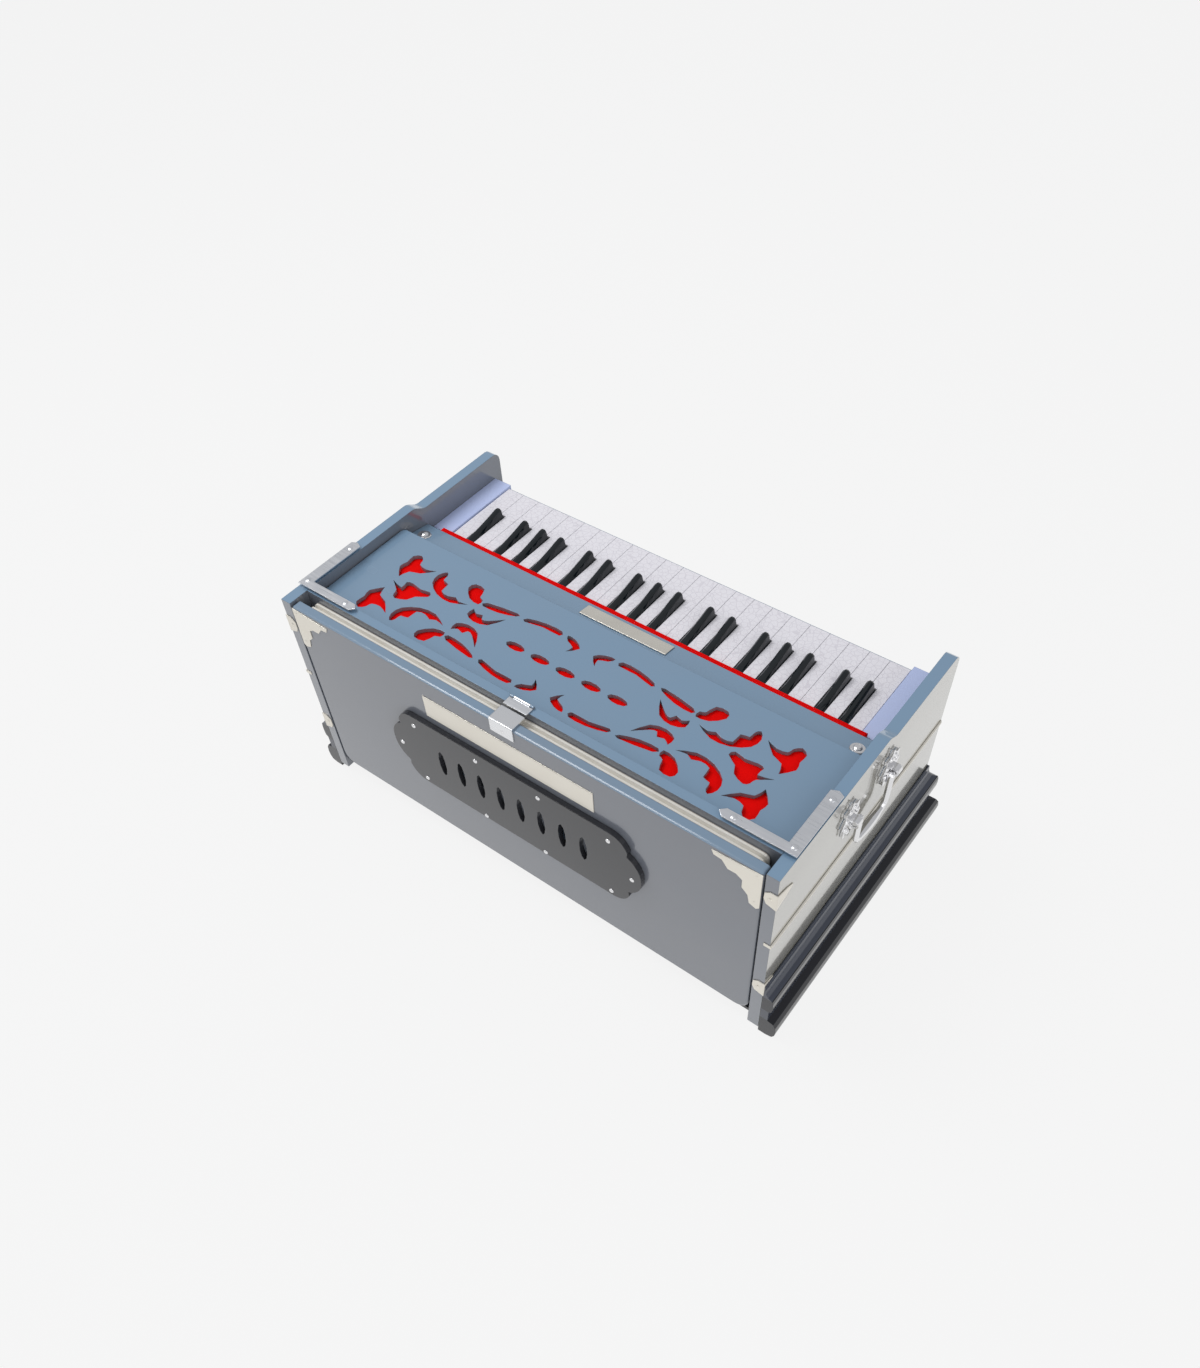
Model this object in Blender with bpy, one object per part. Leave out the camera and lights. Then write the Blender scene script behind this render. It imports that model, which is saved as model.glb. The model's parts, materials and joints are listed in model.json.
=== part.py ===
"""Hand-pumped harmonium in a wooden case, all sizes in metres.

Left and right are the player's. The player sits at -Y with the keys in front, the pump bellows are
at +Y, +X is the treble end and +Z is up. The case stands on the underside of its plinth at Z = 0.
"""

import math

import bmesh
import bpy
from mathutils import Matrix, Vector

MM = 0.001

# Case
CASE_LENGTH = 0.5664
CASE_DEPTH = 0.3110
CASE_HEIGHT = 0.2550
WALL_THICKNESS = 0.0120
WALL_LIFT = 0.0060
CHEEK_DROP = 0.0080
CHEEK_STEP_REAR = -0.0180
CHEEK_STEP_FRONT = -0.0380
CHEEK_NOSE_RADIUS = 0.0100
GLUE_GAP = 0.0003

# Plinth moulding, as reaches outwards from the wall face and as heights
PLINTH_HEIGHT = 0.0860
UPPER_BEAD_TOP = 0.0680
UPPER_BEAD_BOTTOM = 0.0450
UPPER_BEAD_REACH = 0.0120
GROOVE_REACH = 0.0085
LOWER_BEAD_TOP = 0.0280
LOWER_BEAD_REACH = 0.0185
BOTTOM_BOARD_RECESS = 0.0010
BOARD_LAP = 0.0040
VENT_RADIUS = 0.0120
VENT_SPACING = 0.1500

# Front board and stops
FRONT_BOARD_THICKNESS = 0.0110
FRONT_BOARD_DROP = 0.0154
STOP_SPACING = 0.1350
STOP_COUNT = 3
STOP_ROD_RADIUS = 0.0035
STOP_HOLE_CLEARANCE = 0.0010
KNOB_RADIUS = 0.0110
KNOB_LENGTH = 0.0240
SHUTTER_LENGTH = 0.0300
SHUTTER_WIDTH = 0.0340
SHUTTER_THICKNESS = 0.0030
STOP_TRAVEL = 0.0180
WIND_HOLE_RADIUS = 0.0100

# Rear board between the case and the pump bellows
REAR_BOARD_THICKNESS = 0.0095
PUMP_WELL_DEPTH = 0.0325
OUTLET_WIDTH = 0.1200
OUTLET_HEIGHT = 0.0140

# Reed chest
CHEST_HEIGHT = 0.0440
CHEST_DROP = 0.0650
CHEST_WALL = 0.0100
CHEST_FLOOR = 0.0120
REED_SLOT_LENGTH = 0.0560
REED_SLOT_WIDTH = 0.0060
REED_PLATE_THICKNESS = 0.0018
REED_PLATE_MARGIN = 0.0020
STOP_RAIL_DEPTH = 0.0110
BALANCE_RAIL_DEPTH = 0.0050

# Keys
WHITE_PITCH = 0.0215
WHITE_COUNT = 23
KEY_DROP = 0.0381
LEVER_HEIGHT = 0.0134
KEY_FRONT_SETBACK = 0.0155
KEY_GAP = 0.0004
HEAD_END = -0.0360
TAIL_START = -0.0300
TAIL_WIDTH = 0.0105
TAIL_CLEARANCE = 0.0070
PALLET_SIDE_INSET = 0.0003
PALLET_END_INSET = 0.0005
PALLET_RISE = 0.0030
PALLET_START = 0.0440
PIVOT_Y = -0.0200
KEY_TRAVEL_DEG = 3.0
BLACK_WIDTH = 0.0100
BLACK_FRONT = -0.0993
BLACK_HEIGHT = 0.0110
BLACK_RIDGE_WIDTH = 0.0066
BLACK_TAIL_HEIGHT = 0.0024
BLACK_SHIFT = 0.15
BLACK_SHIFT_SMALL = 0.079
NOTCH_GAP = 0.0006

# Key blocks and name rail
BLOCK_RISE = 0.0019
BLOCK_GAP = 0.0008
RAIL_FRONT = -0.0355
RAIL_REAR = -0.0030
RAIL_CLEARANCE = 0.0016
RAIL_FRONT_HEIGHT = 0.0085
RAIL_REAR_HEIGHT = 0.0135
RAIL_FRONT_RADIUS = 0.0020
SPRING_WIDTH = 0.0014
SPRING_THICKNESS = 0.0016
SPRING_LENGTH = 0.0330
SPRING_LIFT = 0.0036

# Top cover with its fretwork and cloth
COVER_DROP = 0.0120
COVER_THICKNESS = 0.0045
COVER_SIDE_GAP = 0.0012
COVER_FRONT = -0.0010
COVER_CORNER_RADIUS = 0.0050
BATTEN_DEPTH = 0.0090
BATTEN_HEIGHT = 0.0095
LEDGE_WIDTH = 0.0060
LEDGE_HEIGHT = 0.0120
CLOTH_THICKNESS = 0.0008
CLOTH_SIDE_GAP = 0.0020
CLOTH_FRONT_GAP = 0.0010
PATTERN_OFFSET = 0.0060

# Pump flap and bellows
FLAP_SIDE_GAP = 0.0017
FLAP_THICKNESS = 0.0097
FLAP_BOTTOM = 0.0220
FLAP_DROP = 0.0020
FLAP_CORNER_RADIUS = 0.0150
FLAP_EDGE_RADIUS = 0.0018
FLAP_LOW_CORNER_RADIUS = 0.0030
INTAKE_RADIUS = 0.0160
INTAKE_SPACING = 0.1100
BELLOWS_SIDE_GAP = 0.0092
BELLOWS_TOP_INSET = 0.0070
BELLOWS_BOTTOM_INSET = 0.0020
BELLOWS_CORNER_RADIUS = 0.0060
PLEAT_DEPTH = 0.0050
PLAQUE_THICKNESS = 0.0055
PLAQUE_CENTRE_HEIGHT = 0.1445
PLAQUE_HEIGHT = 0.0990
AIR_SLOT_COUNT = 8
AIR_SLOT_SPACING = 0.0250
AIR_SLOT_LENGTH = 0.0360
AIR_SLOT_WIDTH = 0.0090

# Latch
LATCH_WIDTH = 0.0270
LATCH_PLATE_THICKNESS = 0.0012
LATCH_KNUCKLE_RADIUS = 0.0014
LATCH_PIN_SETBACK = 0.0028
LATCH_TONGUE_OVERHANG = 0.0040
STRAP_THICKNESS = 0.0026
STRAP_FRONT_GAP = 0.0020
STRAP_DROP = 0.0160
STRAP_REACH = 0.0013
LATCH_LUG_WIDTH = 0.0040

# Reservoir bellows under the reed chest
RESERVOIR_LENGTH = 0.4700
RESERVOIR_FRONT_SETBACK = 0.0355
RESERVOIR_REAR_GAP = 0.0020
RESERVOIR_BOARD = 0.0080
RESERVOIR_FOLD = 0.0095
RESERVOIR_FOLD_DEPTH = 0.0080

# Bail handles
HANDLE_SETDOWN = 0.0440
HANDLE_SPAN = 0.0700
HANDLE_CENTRE = 0.0050
HANDLE_DROP = 0.0400
BAIL_RADIUS = 0.0030
BAIL_PIN_RADIUS = 0.0020
BAIL_BEND = 0.0100
PIN_BEND = 0.0040
ROSETTE_HEIGHT = 0.0440
ROSETTE_WIDTH = 0.0290
ROSETTE_THICKNESS = 0.0024
ROSETTE_LOBE = 0.0022
EYE_LENGTH = 0.0080
EYE_RADIUS = 0.0046
EYE_CLEARANCE = 0.0005
EYE_REACH = 0.0080

# Reaches that follow from the sizes above
HALF_LENGTH = CASE_LENGTH / 2
HALF_DEPTH = CASE_DEPTH / 2
HALF_INSIDE = HALF_LENGTH - WALL_THICKNESS
HALF_BOARD = HALF_INSIDE - GLUE_GAP
BOARD_TOP = WALL_LIFT - GLUE_GAP
REAR_BOARD_FRONT = HALF_DEPTH - PUMP_WELL_DEPTH
CHEST_TOP = CASE_HEIGHT - CHEST_DROP
KEY_TOP = CASE_HEIGHT - KEY_DROP
KEY_FRONT = -HALF_DEPTH + KEY_FRONT_SETBACK
TAIL_END = REAR_BOARD_FRONT - TAIL_CLEARANCE
BLOCK_TOP = KEY_TOP + BLOCK_RISE
RAIL_BOTTOM = KEY_TOP + RAIL_CLEARANCE
RAIL_FRONT_TOP = RAIL_BOTTOM + RAIL_FRONT_HEIGHT
RAIL_REAR_TOP = RAIL_BOTTOM + RAIL_REAR_HEIGHT
COVER_TOP = CASE_HEIGHT - COVER_DROP
FLAP_TOP = CASE_HEIGHT - FLAP_DROP
BELLOWS_TOP = FLAP_TOP - BELLOWS_TOP_INSET
BELLOWS_BOTTOM = FLAP_BOTTOM + BELLOWS_BOTTOM_INSET
RESERVOIR_FRONT = -HALF_DEPTH + RESERVOIR_FRONT_SETBACK
RESERVOIR_REAR = REAR_BOARD_FRONT - RESERVOIR_REAR_GAP
HANDLE_HEIGHT = CASE_HEIGHT - HANDLE_SETDOWN
FRONT_BOARD_HEIGHT = KEY_TOP - FRONT_BOARD_DROP
FRONT_BOARD_BACK = -HALF_DEPTH + FRONT_BOARD_THICKNESS
REAR_BOARD_BACK = REAR_BOARD_FRONT + REAR_BOARD_THICKNESS
CHEST_BOTTOM = CHEST_TOP - CHEST_HEIGHT
CHEST_FRONT = FRONT_BOARD_BACK + GLUE_GAP
CHEST_REAR = REAR_BOARD_FRONT - GLUE_GAP
CHEST_CAVITY_FRONT = CHEST_FRONT + CHEST_WALL
CHEST_FLOOR_TOP = CHEST_BOTTOM + CHEST_FLOOR
STOP_HEIGHT = CHEST_FLOOR_TOP + GLUE_GAP + SHUTTER_THICKNESS + STOP_ROD_RADIUS * 0.5
SHUTTER_FRONT = CHEST_CAVITY_FRONT + STOP_TRAVEL + 0.0040
LEVER_BOTTOM = KEY_TOP - LEVER_HEIGHT
KEYBOARD_LENGTH = WHITE_PITCH * WHITE_COUNT
SEMITONE_PITCH = WHITE_PITCH * 7 / 12
COVER_BOTTOM = COVER_TOP - COVER_THICKNESS
COVER_HALF = HALF_INSIDE - COVER_SIDE_GAP
COVER_REAR = REAR_BOARD_FRONT - 0.0010
LEDGE_TOP = COVER_BOTTOM - GLUE_GAP
FLAP_BACK = HALF_DEPTH
FLAP_FRONT = FLAP_BACK - FLAP_THICKNESS
PLAQUE_BACK = FLAP_BACK + GLUE_GAP + PLAQUE_THICKNESS
KNOB_FRONT = -HALF_DEPTH - GLUE_GAP - KNOB_LENGTH
LATCH_PIN_Y = REAR_BOARD_FRONT + LATCH_PIN_SETBACK
LATCH_PIN_HEIGHT = CASE_HEIGHT + GLUE_GAP + LATCH_KNUCKLE_RADIUS
EYE_X = HALF_LENGTH + EYE_REACH

# The origin lies under the middle of the whole instrument, from knobs to plaque
ORIGIN_SHIFT = -(KNOB_FRONT + PLAQUE_BACK) / 2

NOTE_NAMES = ["c", "c_sharp", "d", "d_sharp", "e", "f", "f_sharp", "g", "g_sharp", "a", "a_sharp", "b"]
WHITE_OF_NOTE = {"c": 0, "d": 1, "e": 2, "f": 3, "g": 4, "a": 5, "b": 6}
BLACK_LINE_OF_NOTE = {
    "c_sharp": 1 - BLACK_SHIFT_SMALL,
    "d_sharp": 2 + BLACK_SHIFT_SMALL,
    "f_sharp": 4 - BLACK_SHIFT,
    "g_sharp": 5,
    "a_sharp": 6 + BLACK_SHIFT,
}

# Fretwork outlines in millimetres from the pattern's centre; a point given twice is a sharp tip
TREFOIL = [(224, 46), (231, 41), (230, 31), (232, 22), (222, 10), (222, 10), (218, 21), (207, 25),
           (195, 37), (195, 37), (206, 33), (216, 35), (218, 41)]
CRESCENT = [(185, 42), (190, 34), (187, 22), (172, 12), (153, 10), (136, 18), (136, 18), (147, 16),
            (153, 19), (161, 16), (171, 18), (172, 29), (180, 31), (181, 38)]
BUD = [(149, 45), (152, 37), (141, 26), (128, 24), (128, 31), (133, 33), (137, 44)]
COMMA = [(127, 17), (127, 17), (128, 8), (116, 3), (101, 7), (91, 23), (91, 23), (104, 12), (111, 10),
         (114, 15), (121, 13)]
SLANT_BAR = [(123, 25), (121, 31), (87, 36), (86, 32), (104, 26)]
LONG_BAR = [(75, 31), (75, 36), (55, 41), (36, 41), (35, 35), (55, 35)]
HOOK = [(28, 40), (18, 39), (8, 32), (17, 22), (17, 22), (15, 30), (24, 34)]
SIDE_LEAF = [(203, 16), (208, 12), (210, 6), (223, -3), (223, -3), (208, 1), (209, -8), (202, -10),
             (190, -8), (179, -10), (176, -4), (187, 3), (191, 11)]
MIDDLE_LENS_CENTRES = [-60, -30, 0, 30, 60]
MIDDLE_LENS_LENGTH = 22
MIDDLE_LENS_WIDTH = 9
MIRRORED_MOTIFS = [TREFOIL, CRESCENT, BUD, COMMA, SLANT_BAR, LONG_BAR, HOOK]

# Half of the plaque's scalloped end, from its straight edge to its middle, in millimetres
PLAQUE_STRAIGHT = 118
PLAQUE_END = [(126, 48.5), (134, 43), (139, 34), (138, 28), (143, 25), (150, 16), (153, 6)]


def start_clean():
    for item in list(bpy.data.objects):
        bpy.data.objects.remove(item)


def make_material(name, colour, roughness, metallic=0.0):
    material = bpy.data.materials.new(name)
    material.use_nodes = True
    shader = material.node_tree.nodes["Principled BSDF"]
    shader.inputs["Base Color"].default_value = (*colour, 1.0)
    shader.inputs["Roughness"].default_value = roughness
    shader.inputs["Metallic"].default_value = metallic
    material.diffuse_color = (*colour, 1.0)
    return material


def make_materials():
    return {
        "lacquer": make_material("blue_grey_lacquer", (0.17, 0.24, 0.32), 0.22),
        "plinth": make_material("plinth_lacquer", (0.02, 0.024, 0.035), 0.2),
        "bare_wood": make_material("pine_board", (0.52, 0.36, 0.2), 0.6),
        "white_key": make_material("white_key_plastic", (0.76, 0.74, 0.8), 0.25),
        "black_key": make_material("black_key_plastic", (0.012, 0.014, 0.02), 0.15),
        "block": make_material("lavender_laminate", (0.5, 0.58, 0.85), 0.35),
        "cloth": make_material("red_cloth", (0.8, 0.0, 0.0), 0.9),
        "bellows": make_material("bellows_card", (0.8, 0.77, 0.7), 0.7),
        "plaque": make_material("black_acrylic", (0.02, 0.022, 0.028), 0.12),
        "chrome": make_material("chrome_plate", (0.8, 0.8, 0.8), 0.12, 1.0),
        "steel": make_material("brushed_plate", (0.6, 0.6, 0.62), 0.35, 1.0),
        "leather": make_material("reservoir_leather", (0.2, 0.1, 0.05), 0.75),
    }


def make_object(name, bm, material=None):
    bmesh.ops.recalc_face_normals(bm, faces=bm.faces)
    mesh = bpy.data.meshes.new(name)
    bm.to_mesh(mesh)
    bm.free()
    item = bpy.data.objects.new(name, mesh)
    bpy.context.scene.collection.objects.link(item)
    if material:
        mesh.materials.append(material)
    return item


def on_axis(axis, level, u, v):
    """A point at a level of one axis, with u and v along the other two in x, y, z order."""
    return {"x": (level, u, v), "y": (u, level, v), "z": (u, v, level)}[axis]


def add_prism(bm, outline, axis, low, high):
    """A closed outline extruded along an axis, added to a bmesh."""
    ring = [bm.verts.new(on_axis(axis, low, u, v)) for u, v in outline]
    face = bm.faces.new(ring)
    grown = bmesh.ops.extrude_face_region(bm, geom=[face])["geom"]
    lifted = [piece for piece in grown if isinstance(piece, bmesh.types.BMVert)]
    bmesh.ops.translate(bm, verts=lifted, vec=Vector(on_axis(axis, high - low, 0.0, 0.0)))


def add_box(bm, low, high):
    outline = [(low[0], low[1]), (high[0], low[1]), (high[0], high[1]), (low[0], high[1])]
    add_prism(bm, outline, "z", low[2], high[2])


def add_loft(bm, rings):
    """Rings with equal point counts, joined side by side and closed at both ends."""
    loops = [[bm.verts.new(point) for point in ring] for ring in rings]
    for first, second in zip(loops, loops[1:]):
        for index, corner in enumerate(first):
            following = (index + 1) % len(first)
            bm.faces.new([corner, first[following], second[following], second[index]])
    bm.faces.new(loops[0])
    bm.faces.new(list(reversed(loops[-1])))


def circle(centre_u, centre_v, radius, sides):
    turns = [2 * math.pi * step / sides for step in range(sides)]
    return [(centre_u + radius * math.cos(turn), centre_v + radius * math.sin(turn)) for turn in turns]


def rounded_rectangle(low_u, low_v, high_u, high_v, radii, steps=4):
    """Corner radii run low-low, high-low, high-high, low-high; a radius of 0 is a sharp corner."""
    corners = [(low_u, low_v, 180), (high_u, low_v, 270), (high_u, high_v, 0), (low_u, high_v, 90)]
    outline = []
    for (u, v, start), radius in zip(corners, radii):
        if radius == 0:
            outline.append((u, v))
            continue
        centre_u = u + math.copysign(radius, (low_u + high_u) / 2 - u)
        centre_v = v + math.copysign(radius, (low_v + high_v) / 2 - v)
        for step in range(steps + 1):
            turn = math.radians(start + 90 * step / steps)
            outline.append((centre_u + radius * math.cos(turn), centre_v + radius * math.sin(turn)))
    return outline


def smooth_outline(points, steps=2):
    """A closed curve through the points, with a sharp tip where a point is given twice."""
    count = len(points)
    outline = []
    for index in range(count):
        before, start, end, after = (Vector(points[(index + shift) % count]) for shift in (-1, 0, 1, 2))
        if start == end:
            continue
        for step in range(steps):
            t = step / steps
            drift = (end - before) * t
            bend = (2 * before - 5 * start + 4 * end - after) * t ** 2
            twist = (3 * start - before - 3 * end + after) * t ** 3
            outline.append(tuple(start + (drift + bend + twist) / 2))
    return outline


def lens(centre_u, centre_v, length, width, steps=5):
    """A pointed oval, long along v, from two arcs."""
    half = [math.pi * step / steps for step in range(steps)]
    right = [(centre_u + width / 2 * math.sin(turn), centre_v - length / 2 * math.cos(turn)) for turn in half]
    left = [(centre_u - width / 2 * math.sin(turn), centre_v + length / 2 * math.cos(turn)) for turn in half]
    return right + left


def add_turned(bm, profile, axis, centre_u, centre_v, sides=16):
    """A profile of (place along the axis, radius) turned round that axis, with flat ends."""
    rings = []
    for place, radius in profile:
        rings.append([on_axis(axis, place, u, v) for u, v in circle(centre_u, centre_v, radius, sides)])
    add_loft(bm, rings)


def combine(item, bm, operation):
    """Join the shapes in a bmesh to an object, or cut them out of it, and keep the result."""
    tool = make_object(item.name + "_tool", bm)
    boolean = item.modifiers.new("shape", "BOOLEAN")
    boolean.operation = operation
    boolean.solver = "EXACT"
    boolean.object = tool
    tool.hide_render = True
    tool.display_type = "WIRE"
    evaluated = item.evaluated_get(bpy.context.evaluated_depsgraph_get())
    shaped = bpy.data.meshes.new_from_object(evaluated)
    item.modifiers.remove(boolean)
    item.data = shaped
    bpy.data.objects.remove(tool)


def set_origin(item, point):
    """Put the object's origin on its joint without moving its shape."""
    item.data.transform(Matrix.Translation(-Vector(point)))
    item.location = point


def smooth_by_angle(item, degrees=35):
    item.data.shade_smooth()
    item.data.set_sharp_from_angle(angle=math.radians(degrees))


def plinth_profile():
    """The moulding's section as (reach from the wall face, height), with two beads and a cove."""
    inner = GLUE_GAP
    profile = [(inner, 0.0), (inner, PLINTH_HEIGHT), (inner + 0.0015, PLINTH_HEIGHT)]
    for step in range(1, 5):
        turn = math.pi / 2 * step / 4
        reach = inner + 0.0015 + (GROOVE_REACH - inner - 0.0015) * (1 - math.cos(turn))
        height = PLINTH_HEIGHT - (PLINTH_HEIGHT - UPPER_BEAD_TOP) * math.sin(turn)
        profile.append((reach, height))
    profile += bead(GROOVE_REACH, UPPER_BEAD_TOP, UPPER_BEAD_BOTTOM, UPPER_BEAD_REACH)
    profile += bead(GROOVE_REACH, LOWER_BEAD_TOP, 0.0, LOWER_BEAD_REACH)
    return profile


def bead(start_reach, top, bottom, full_reach, steps=6):
    """A rounded bead that bulges from the groove's depth out to its full reach."""
    middle = (top + bottom) / 2
    half = (top - bottom) / 2
    points = []
    for step in range(steps + 1):
        turn = math.pi / 2 - math.pi * step / steps
        swell = math.cos(turn) ** 0.6 if 0 < step < steps else 0.0
        points.append((start_reach + (full_reach - start_reach) * swell, middle + half * math.sin(turn)))
    return points


def make_base(materials):
    rings = []
    rear_left = (-HALF_LENGTH, HALF_DEPTH, -1, 0)
    front_left = (-HALF_LENGTH, -HALF_DEPTH, -1, -1)
    front_right = (HALF_LENGTH, -HALF_DEPTH, 1, -1)
    rear_right = (HALF_LENGTH, HALF_DEPTH, 1, 0)
    for x, y, out_x, out_y in (rear_left, front_left, front_right, rear_right):
        rings.append([(x + out_x * reach, y + out_y * reach, height) for reach, height in plinth_profile()])
    bm = bmesh.new()
    add_loft(bm, rings)
    base = make_object("base", bm, materials["plinth"])
    board = bmesh.new()
    board_rear = FLAP_FRONT - 0.0015
    low = (-HALF_LENGTH - BOARD_LAP, -HALF_DEPTH - BOARD_LAP, BOTTOM_BOARD_RECESS)
    add_box(board, low, (HALF_LENGTH + BOARD_LAP, board_rear, BOARD_TOP))
    combine(base, board, "UNION")
    vents = bmesh.new()
    for side in (-1, 0, 1):
        add_prism(vents, circle(side * VENT_SPACING, 0.0, VENT_RADIUS, 16), "z", -0.01, BOARD_TOP + 0.01)
    combine(base, vents, "DIFFERENCE")
    return base


def wall_outline():
    """The side cheek seen from the end, with its low front and its rounded nose."""
    low_top = CASE_HEIGHT - CHEEK_DROP
    outline = [(-HALF_DEPTH, WALL_LIFT), (HALF_DEPTH, WALL_LIFT), (HALF_DEPTH, CASE_HEIGHT)]
    steps = 8
    for step in range(steps + 1):
        along = step / steps
        y = CHEEK_STEP_REAR + (CHEEK_STEP_FRONT - CHEEK_STEP_REAR) * along
        outline.append((y, CASE_HEIGHT - CHEEK_DROP * (1 - math.cos(math.pi * along)) / 2))
    for step in range(5):
        turn = math.pi / 2 * (1 + step / 4)
        y = -HALF_DEPTH + CHEEK_NOSE_RADIUS * (1 + math.cos(turn))
        outline.append((y, low_top - CHEEK_NOSE_RADIUS * (1 - math.sin(turn))))
    return outline


def rosette_outline(centre_y):
    """A leafy back plate with eight shallow lobes round its edge."""
    outline = []
    sides = 32
    for step in range(sides):
        turn = 2 * math.pi * step / sides
        lobe = ROSETTE_LOBE * math.cos(8 * turn)
        y = centre_y + (ROSETTE_WIDTH / 2 - ROSETTE_LOBE + lobe) * math.cos(turn)
        z = HANDLE_HEIGHT + (ROSETTE_HEIGHT / 2 - ROSETTE_LOBE + lobe) * math.sin(turn)
        outline.append((y, z))
    return outline


def eye_outline():
    """The handle's eye seen along the case: a tongue from the plate with a round end."""
    root = HALF_LENGTH - 0.0010
    outline = [(root, HANDLE_HEIGHT - EYE_RADIUS)]
    for step in range(9):
        turn = -math.pi / 2 + math.pi * step / 8
        outline.append((EYE_X + EYE_RADIUS * math.cos(turn), HANDLE_HEIGHT + EYE_RADIUS * math.sin(turn)))
    outline.append((root, HANDLE_HEIGHT + EYE_RADIUS))
    return outline


def eye_centres():
    return (HANDLE_CENTRE - HANDLE_SPAN / 2, HANDLE_CENTRE + HANDLE_SPAN / 2)


def make_side_wall(name, side, materials):
    inner, outer = sorted((side * HALF_INSIDE, side * HALF_LENGTH))
    bm = bmesh.new()
    add_prism(bm, wall_outline(), "x", inner, outer)
    wall = make_object(name, bm, materials["lacquer"])

    ledge = bmesh.new()
    ledge_low, ledge_high = sorted((side * (HALF_INSIDE - LEDGE_WIDTH), side * (HALF_INSIDE + 0.002)))
    low = (ledge_low, RAIL_REAR + 0.0010, LEDGE_TOP - LEDGE_HEIGHT)
    add_box(ledge, low, (ledge_high, REAR_BOARD_FRONT - GLUE_GAP, LEDGE_TOP))
    combine(wall, ledge, "UNION")

    plate_inner = side * (HALF_LENGTH - 0.0010)
    plate_outer = side * (HALF_LENGTH + ROSETTE_THICKNESS)
    for centre_y in eye_centres():
        plate = bmesh.new()
        add_prism(plate, rosette_outline(centre_y), "x", plate_inner, plate_outer)
        combine(wall, plate, "UNION")
        eye = bmesh.new()
        outline = [(side * x, z) for x, z in eye_outline()]
        add_prism(eye, outline, "y", centre_y - EYE_LENGTH / 2, centre_y + EYE_LENGTH / 2)
        combine(wall, eye, "UNION")
    bores = bmesh.new()
    for centre_y in eye_centres():
        bore = circle(side * EYE_X, HANDLE_HEIGHT, BAIL_PIN_RADIUS + EYE_CLEARANCE, 12)
        add_prism(bores, bore, "y", centre_y - EYE_LENGTH, centre_y + EYE_LENGTH)
    combine(wall, bores, "DIFFERENCE")
    return wall


def bail_path():
    """Half of the bail from its pin's end to the middle of its grip, as (y from centre, drop, radius)."""
    pin_end = HANDLE_SPAN / 2 + EYE_LENGTH / 2 - 0.0005
    arm = HANDLE_SPAN / 2 - EYE_LENGTH / 2 - 0.0008 - BAIL_RADIUS
    points = [(pin_end, 0.0, BAIL_PIN_RADIUS), (arm + BAIL_RADIUS + 0.0003, 0.0, BAIL_PIN_RADIUS)]
    for step in range(1, 5):
        turn = math.pi / 2 * step / 4
        y = arm + PIN_BEND * 0.4 * (1 - math.sin(turn))
        points.append((y, PIN_BEND * (1 - math.cos(turn)), BAIL_RADIUS))
    for step in range(5):
        turn = math.pi / 2 * step / 4
        y = arm - BAIL_BEND * (1 - math.cos(turn))
        points.append((y, HANDLE_DROP - BAIL_BEND * (1 - math.sin(turn)), BAIL_RADIUS))
    grip_half = arm - BAIL_BEND
    for share in (0.75, 0.5, 0.25, 0.0):
        swell = 1.0 + 0.45 * math.cos(math.pi / 2 * share)
        points.append((grip_half * share, HANDLE_DROP, BAIL_RADIUS * swell))
    return points


def make_handle(name, side, materials):
    half = bail_path()
    path = half + [(-y, drop, radius) for y, drop, radius in reversed(half[:-1])]
    curve = bpy.data.curves.new(name, "CURVE")
    curve.dimensions = "3D"
    curve.bevel_depth = 1.0
    curve.bevel_resolution = 2
    curve.use_fill_caps = True
    spline = curve.splines.new("POLY")
    spline.points.add(len(path) - 1)
    for point, (y, drop, radius) in zip(spline.points, path):
        point.co = (0.0, y, -drop, 1.0)
        point.radius = radius
    curve.materials.append(materials["chrome"])
    handle = bpy.data.objects.new(name, curve)
    bpy.context.scene.collection.objects.link(handle)
    handle.location = (side * EYE_X, HANDLE_CENTRE, HANDLE_HEIGHT)
    return handle


def stop_centres():
    first = -STOP_SPACING * (STOP_COUNT - 1) / 2
    return [first + STOP_SPACING * index for index in range(STOP_COUNT)]


def make_front_board(materials):
    bm = bmesh.new()
    add_box(bm, (-HALF_BOARD, -HALF_DEPTH, WALL_LIFT), (HALF_BOARD, FRONT_BOARD_BACK, FRONT_BOARD_HEIGHT))
    board = make_object("front_board", bm, materials["lacquer"])
    holes = bmesh.new()
    for x in stop_centres():
        hole = circle(x, STOP_HEIGHT, STOP_ROD_RADIUS + STOP_HOLE_CLEARANCE, 16)
        add_prism(holes, hole, "y", -HALF_DEPTH - 0.01, FRONT_BOARD_BACK + 0.01)
    combine(board, holes, "DIFFERENCE")
    return board


def make_rear_board(materials):
    bm = bmesh.new()
    add_box(bm, (-HALF_BOARD, REAR_BOARD_FRONT, WALL_LIFT), (HALF_BOARD, REAR_BOARD_BACK, CASE_HEIGHT))
    board = make_object("rear_board", bm, materials["lacquer"])
    outlet_top = CHEST_BOTTOM - GLUE_GAP
    outlet = bmesh.new()
    low = (-OUTLET_WIDTH / 2, REAR_BOARD_FRONT - 0.01, outlet_top - OUTLET_HEIGHT)
    add_box(outlet, low, (OUTLET_WIDTH / 2, REAR_BOARD_BACK + 0.01, outlet_top))
    combine(board, outlet, "DIFFERENCE")
    for side in (-1, 1):
        lug = bmesh.new()
        start, end = sorted((side * LATCH_WIDTH / 2, side * (LATCH_WIDTH / 2 - LATCH_LUG_WIDTH)))
        add_prism(lug, latch_lug_outline(), "x", start, end)
        combine(board, lug, "UNION")
    return board


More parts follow.
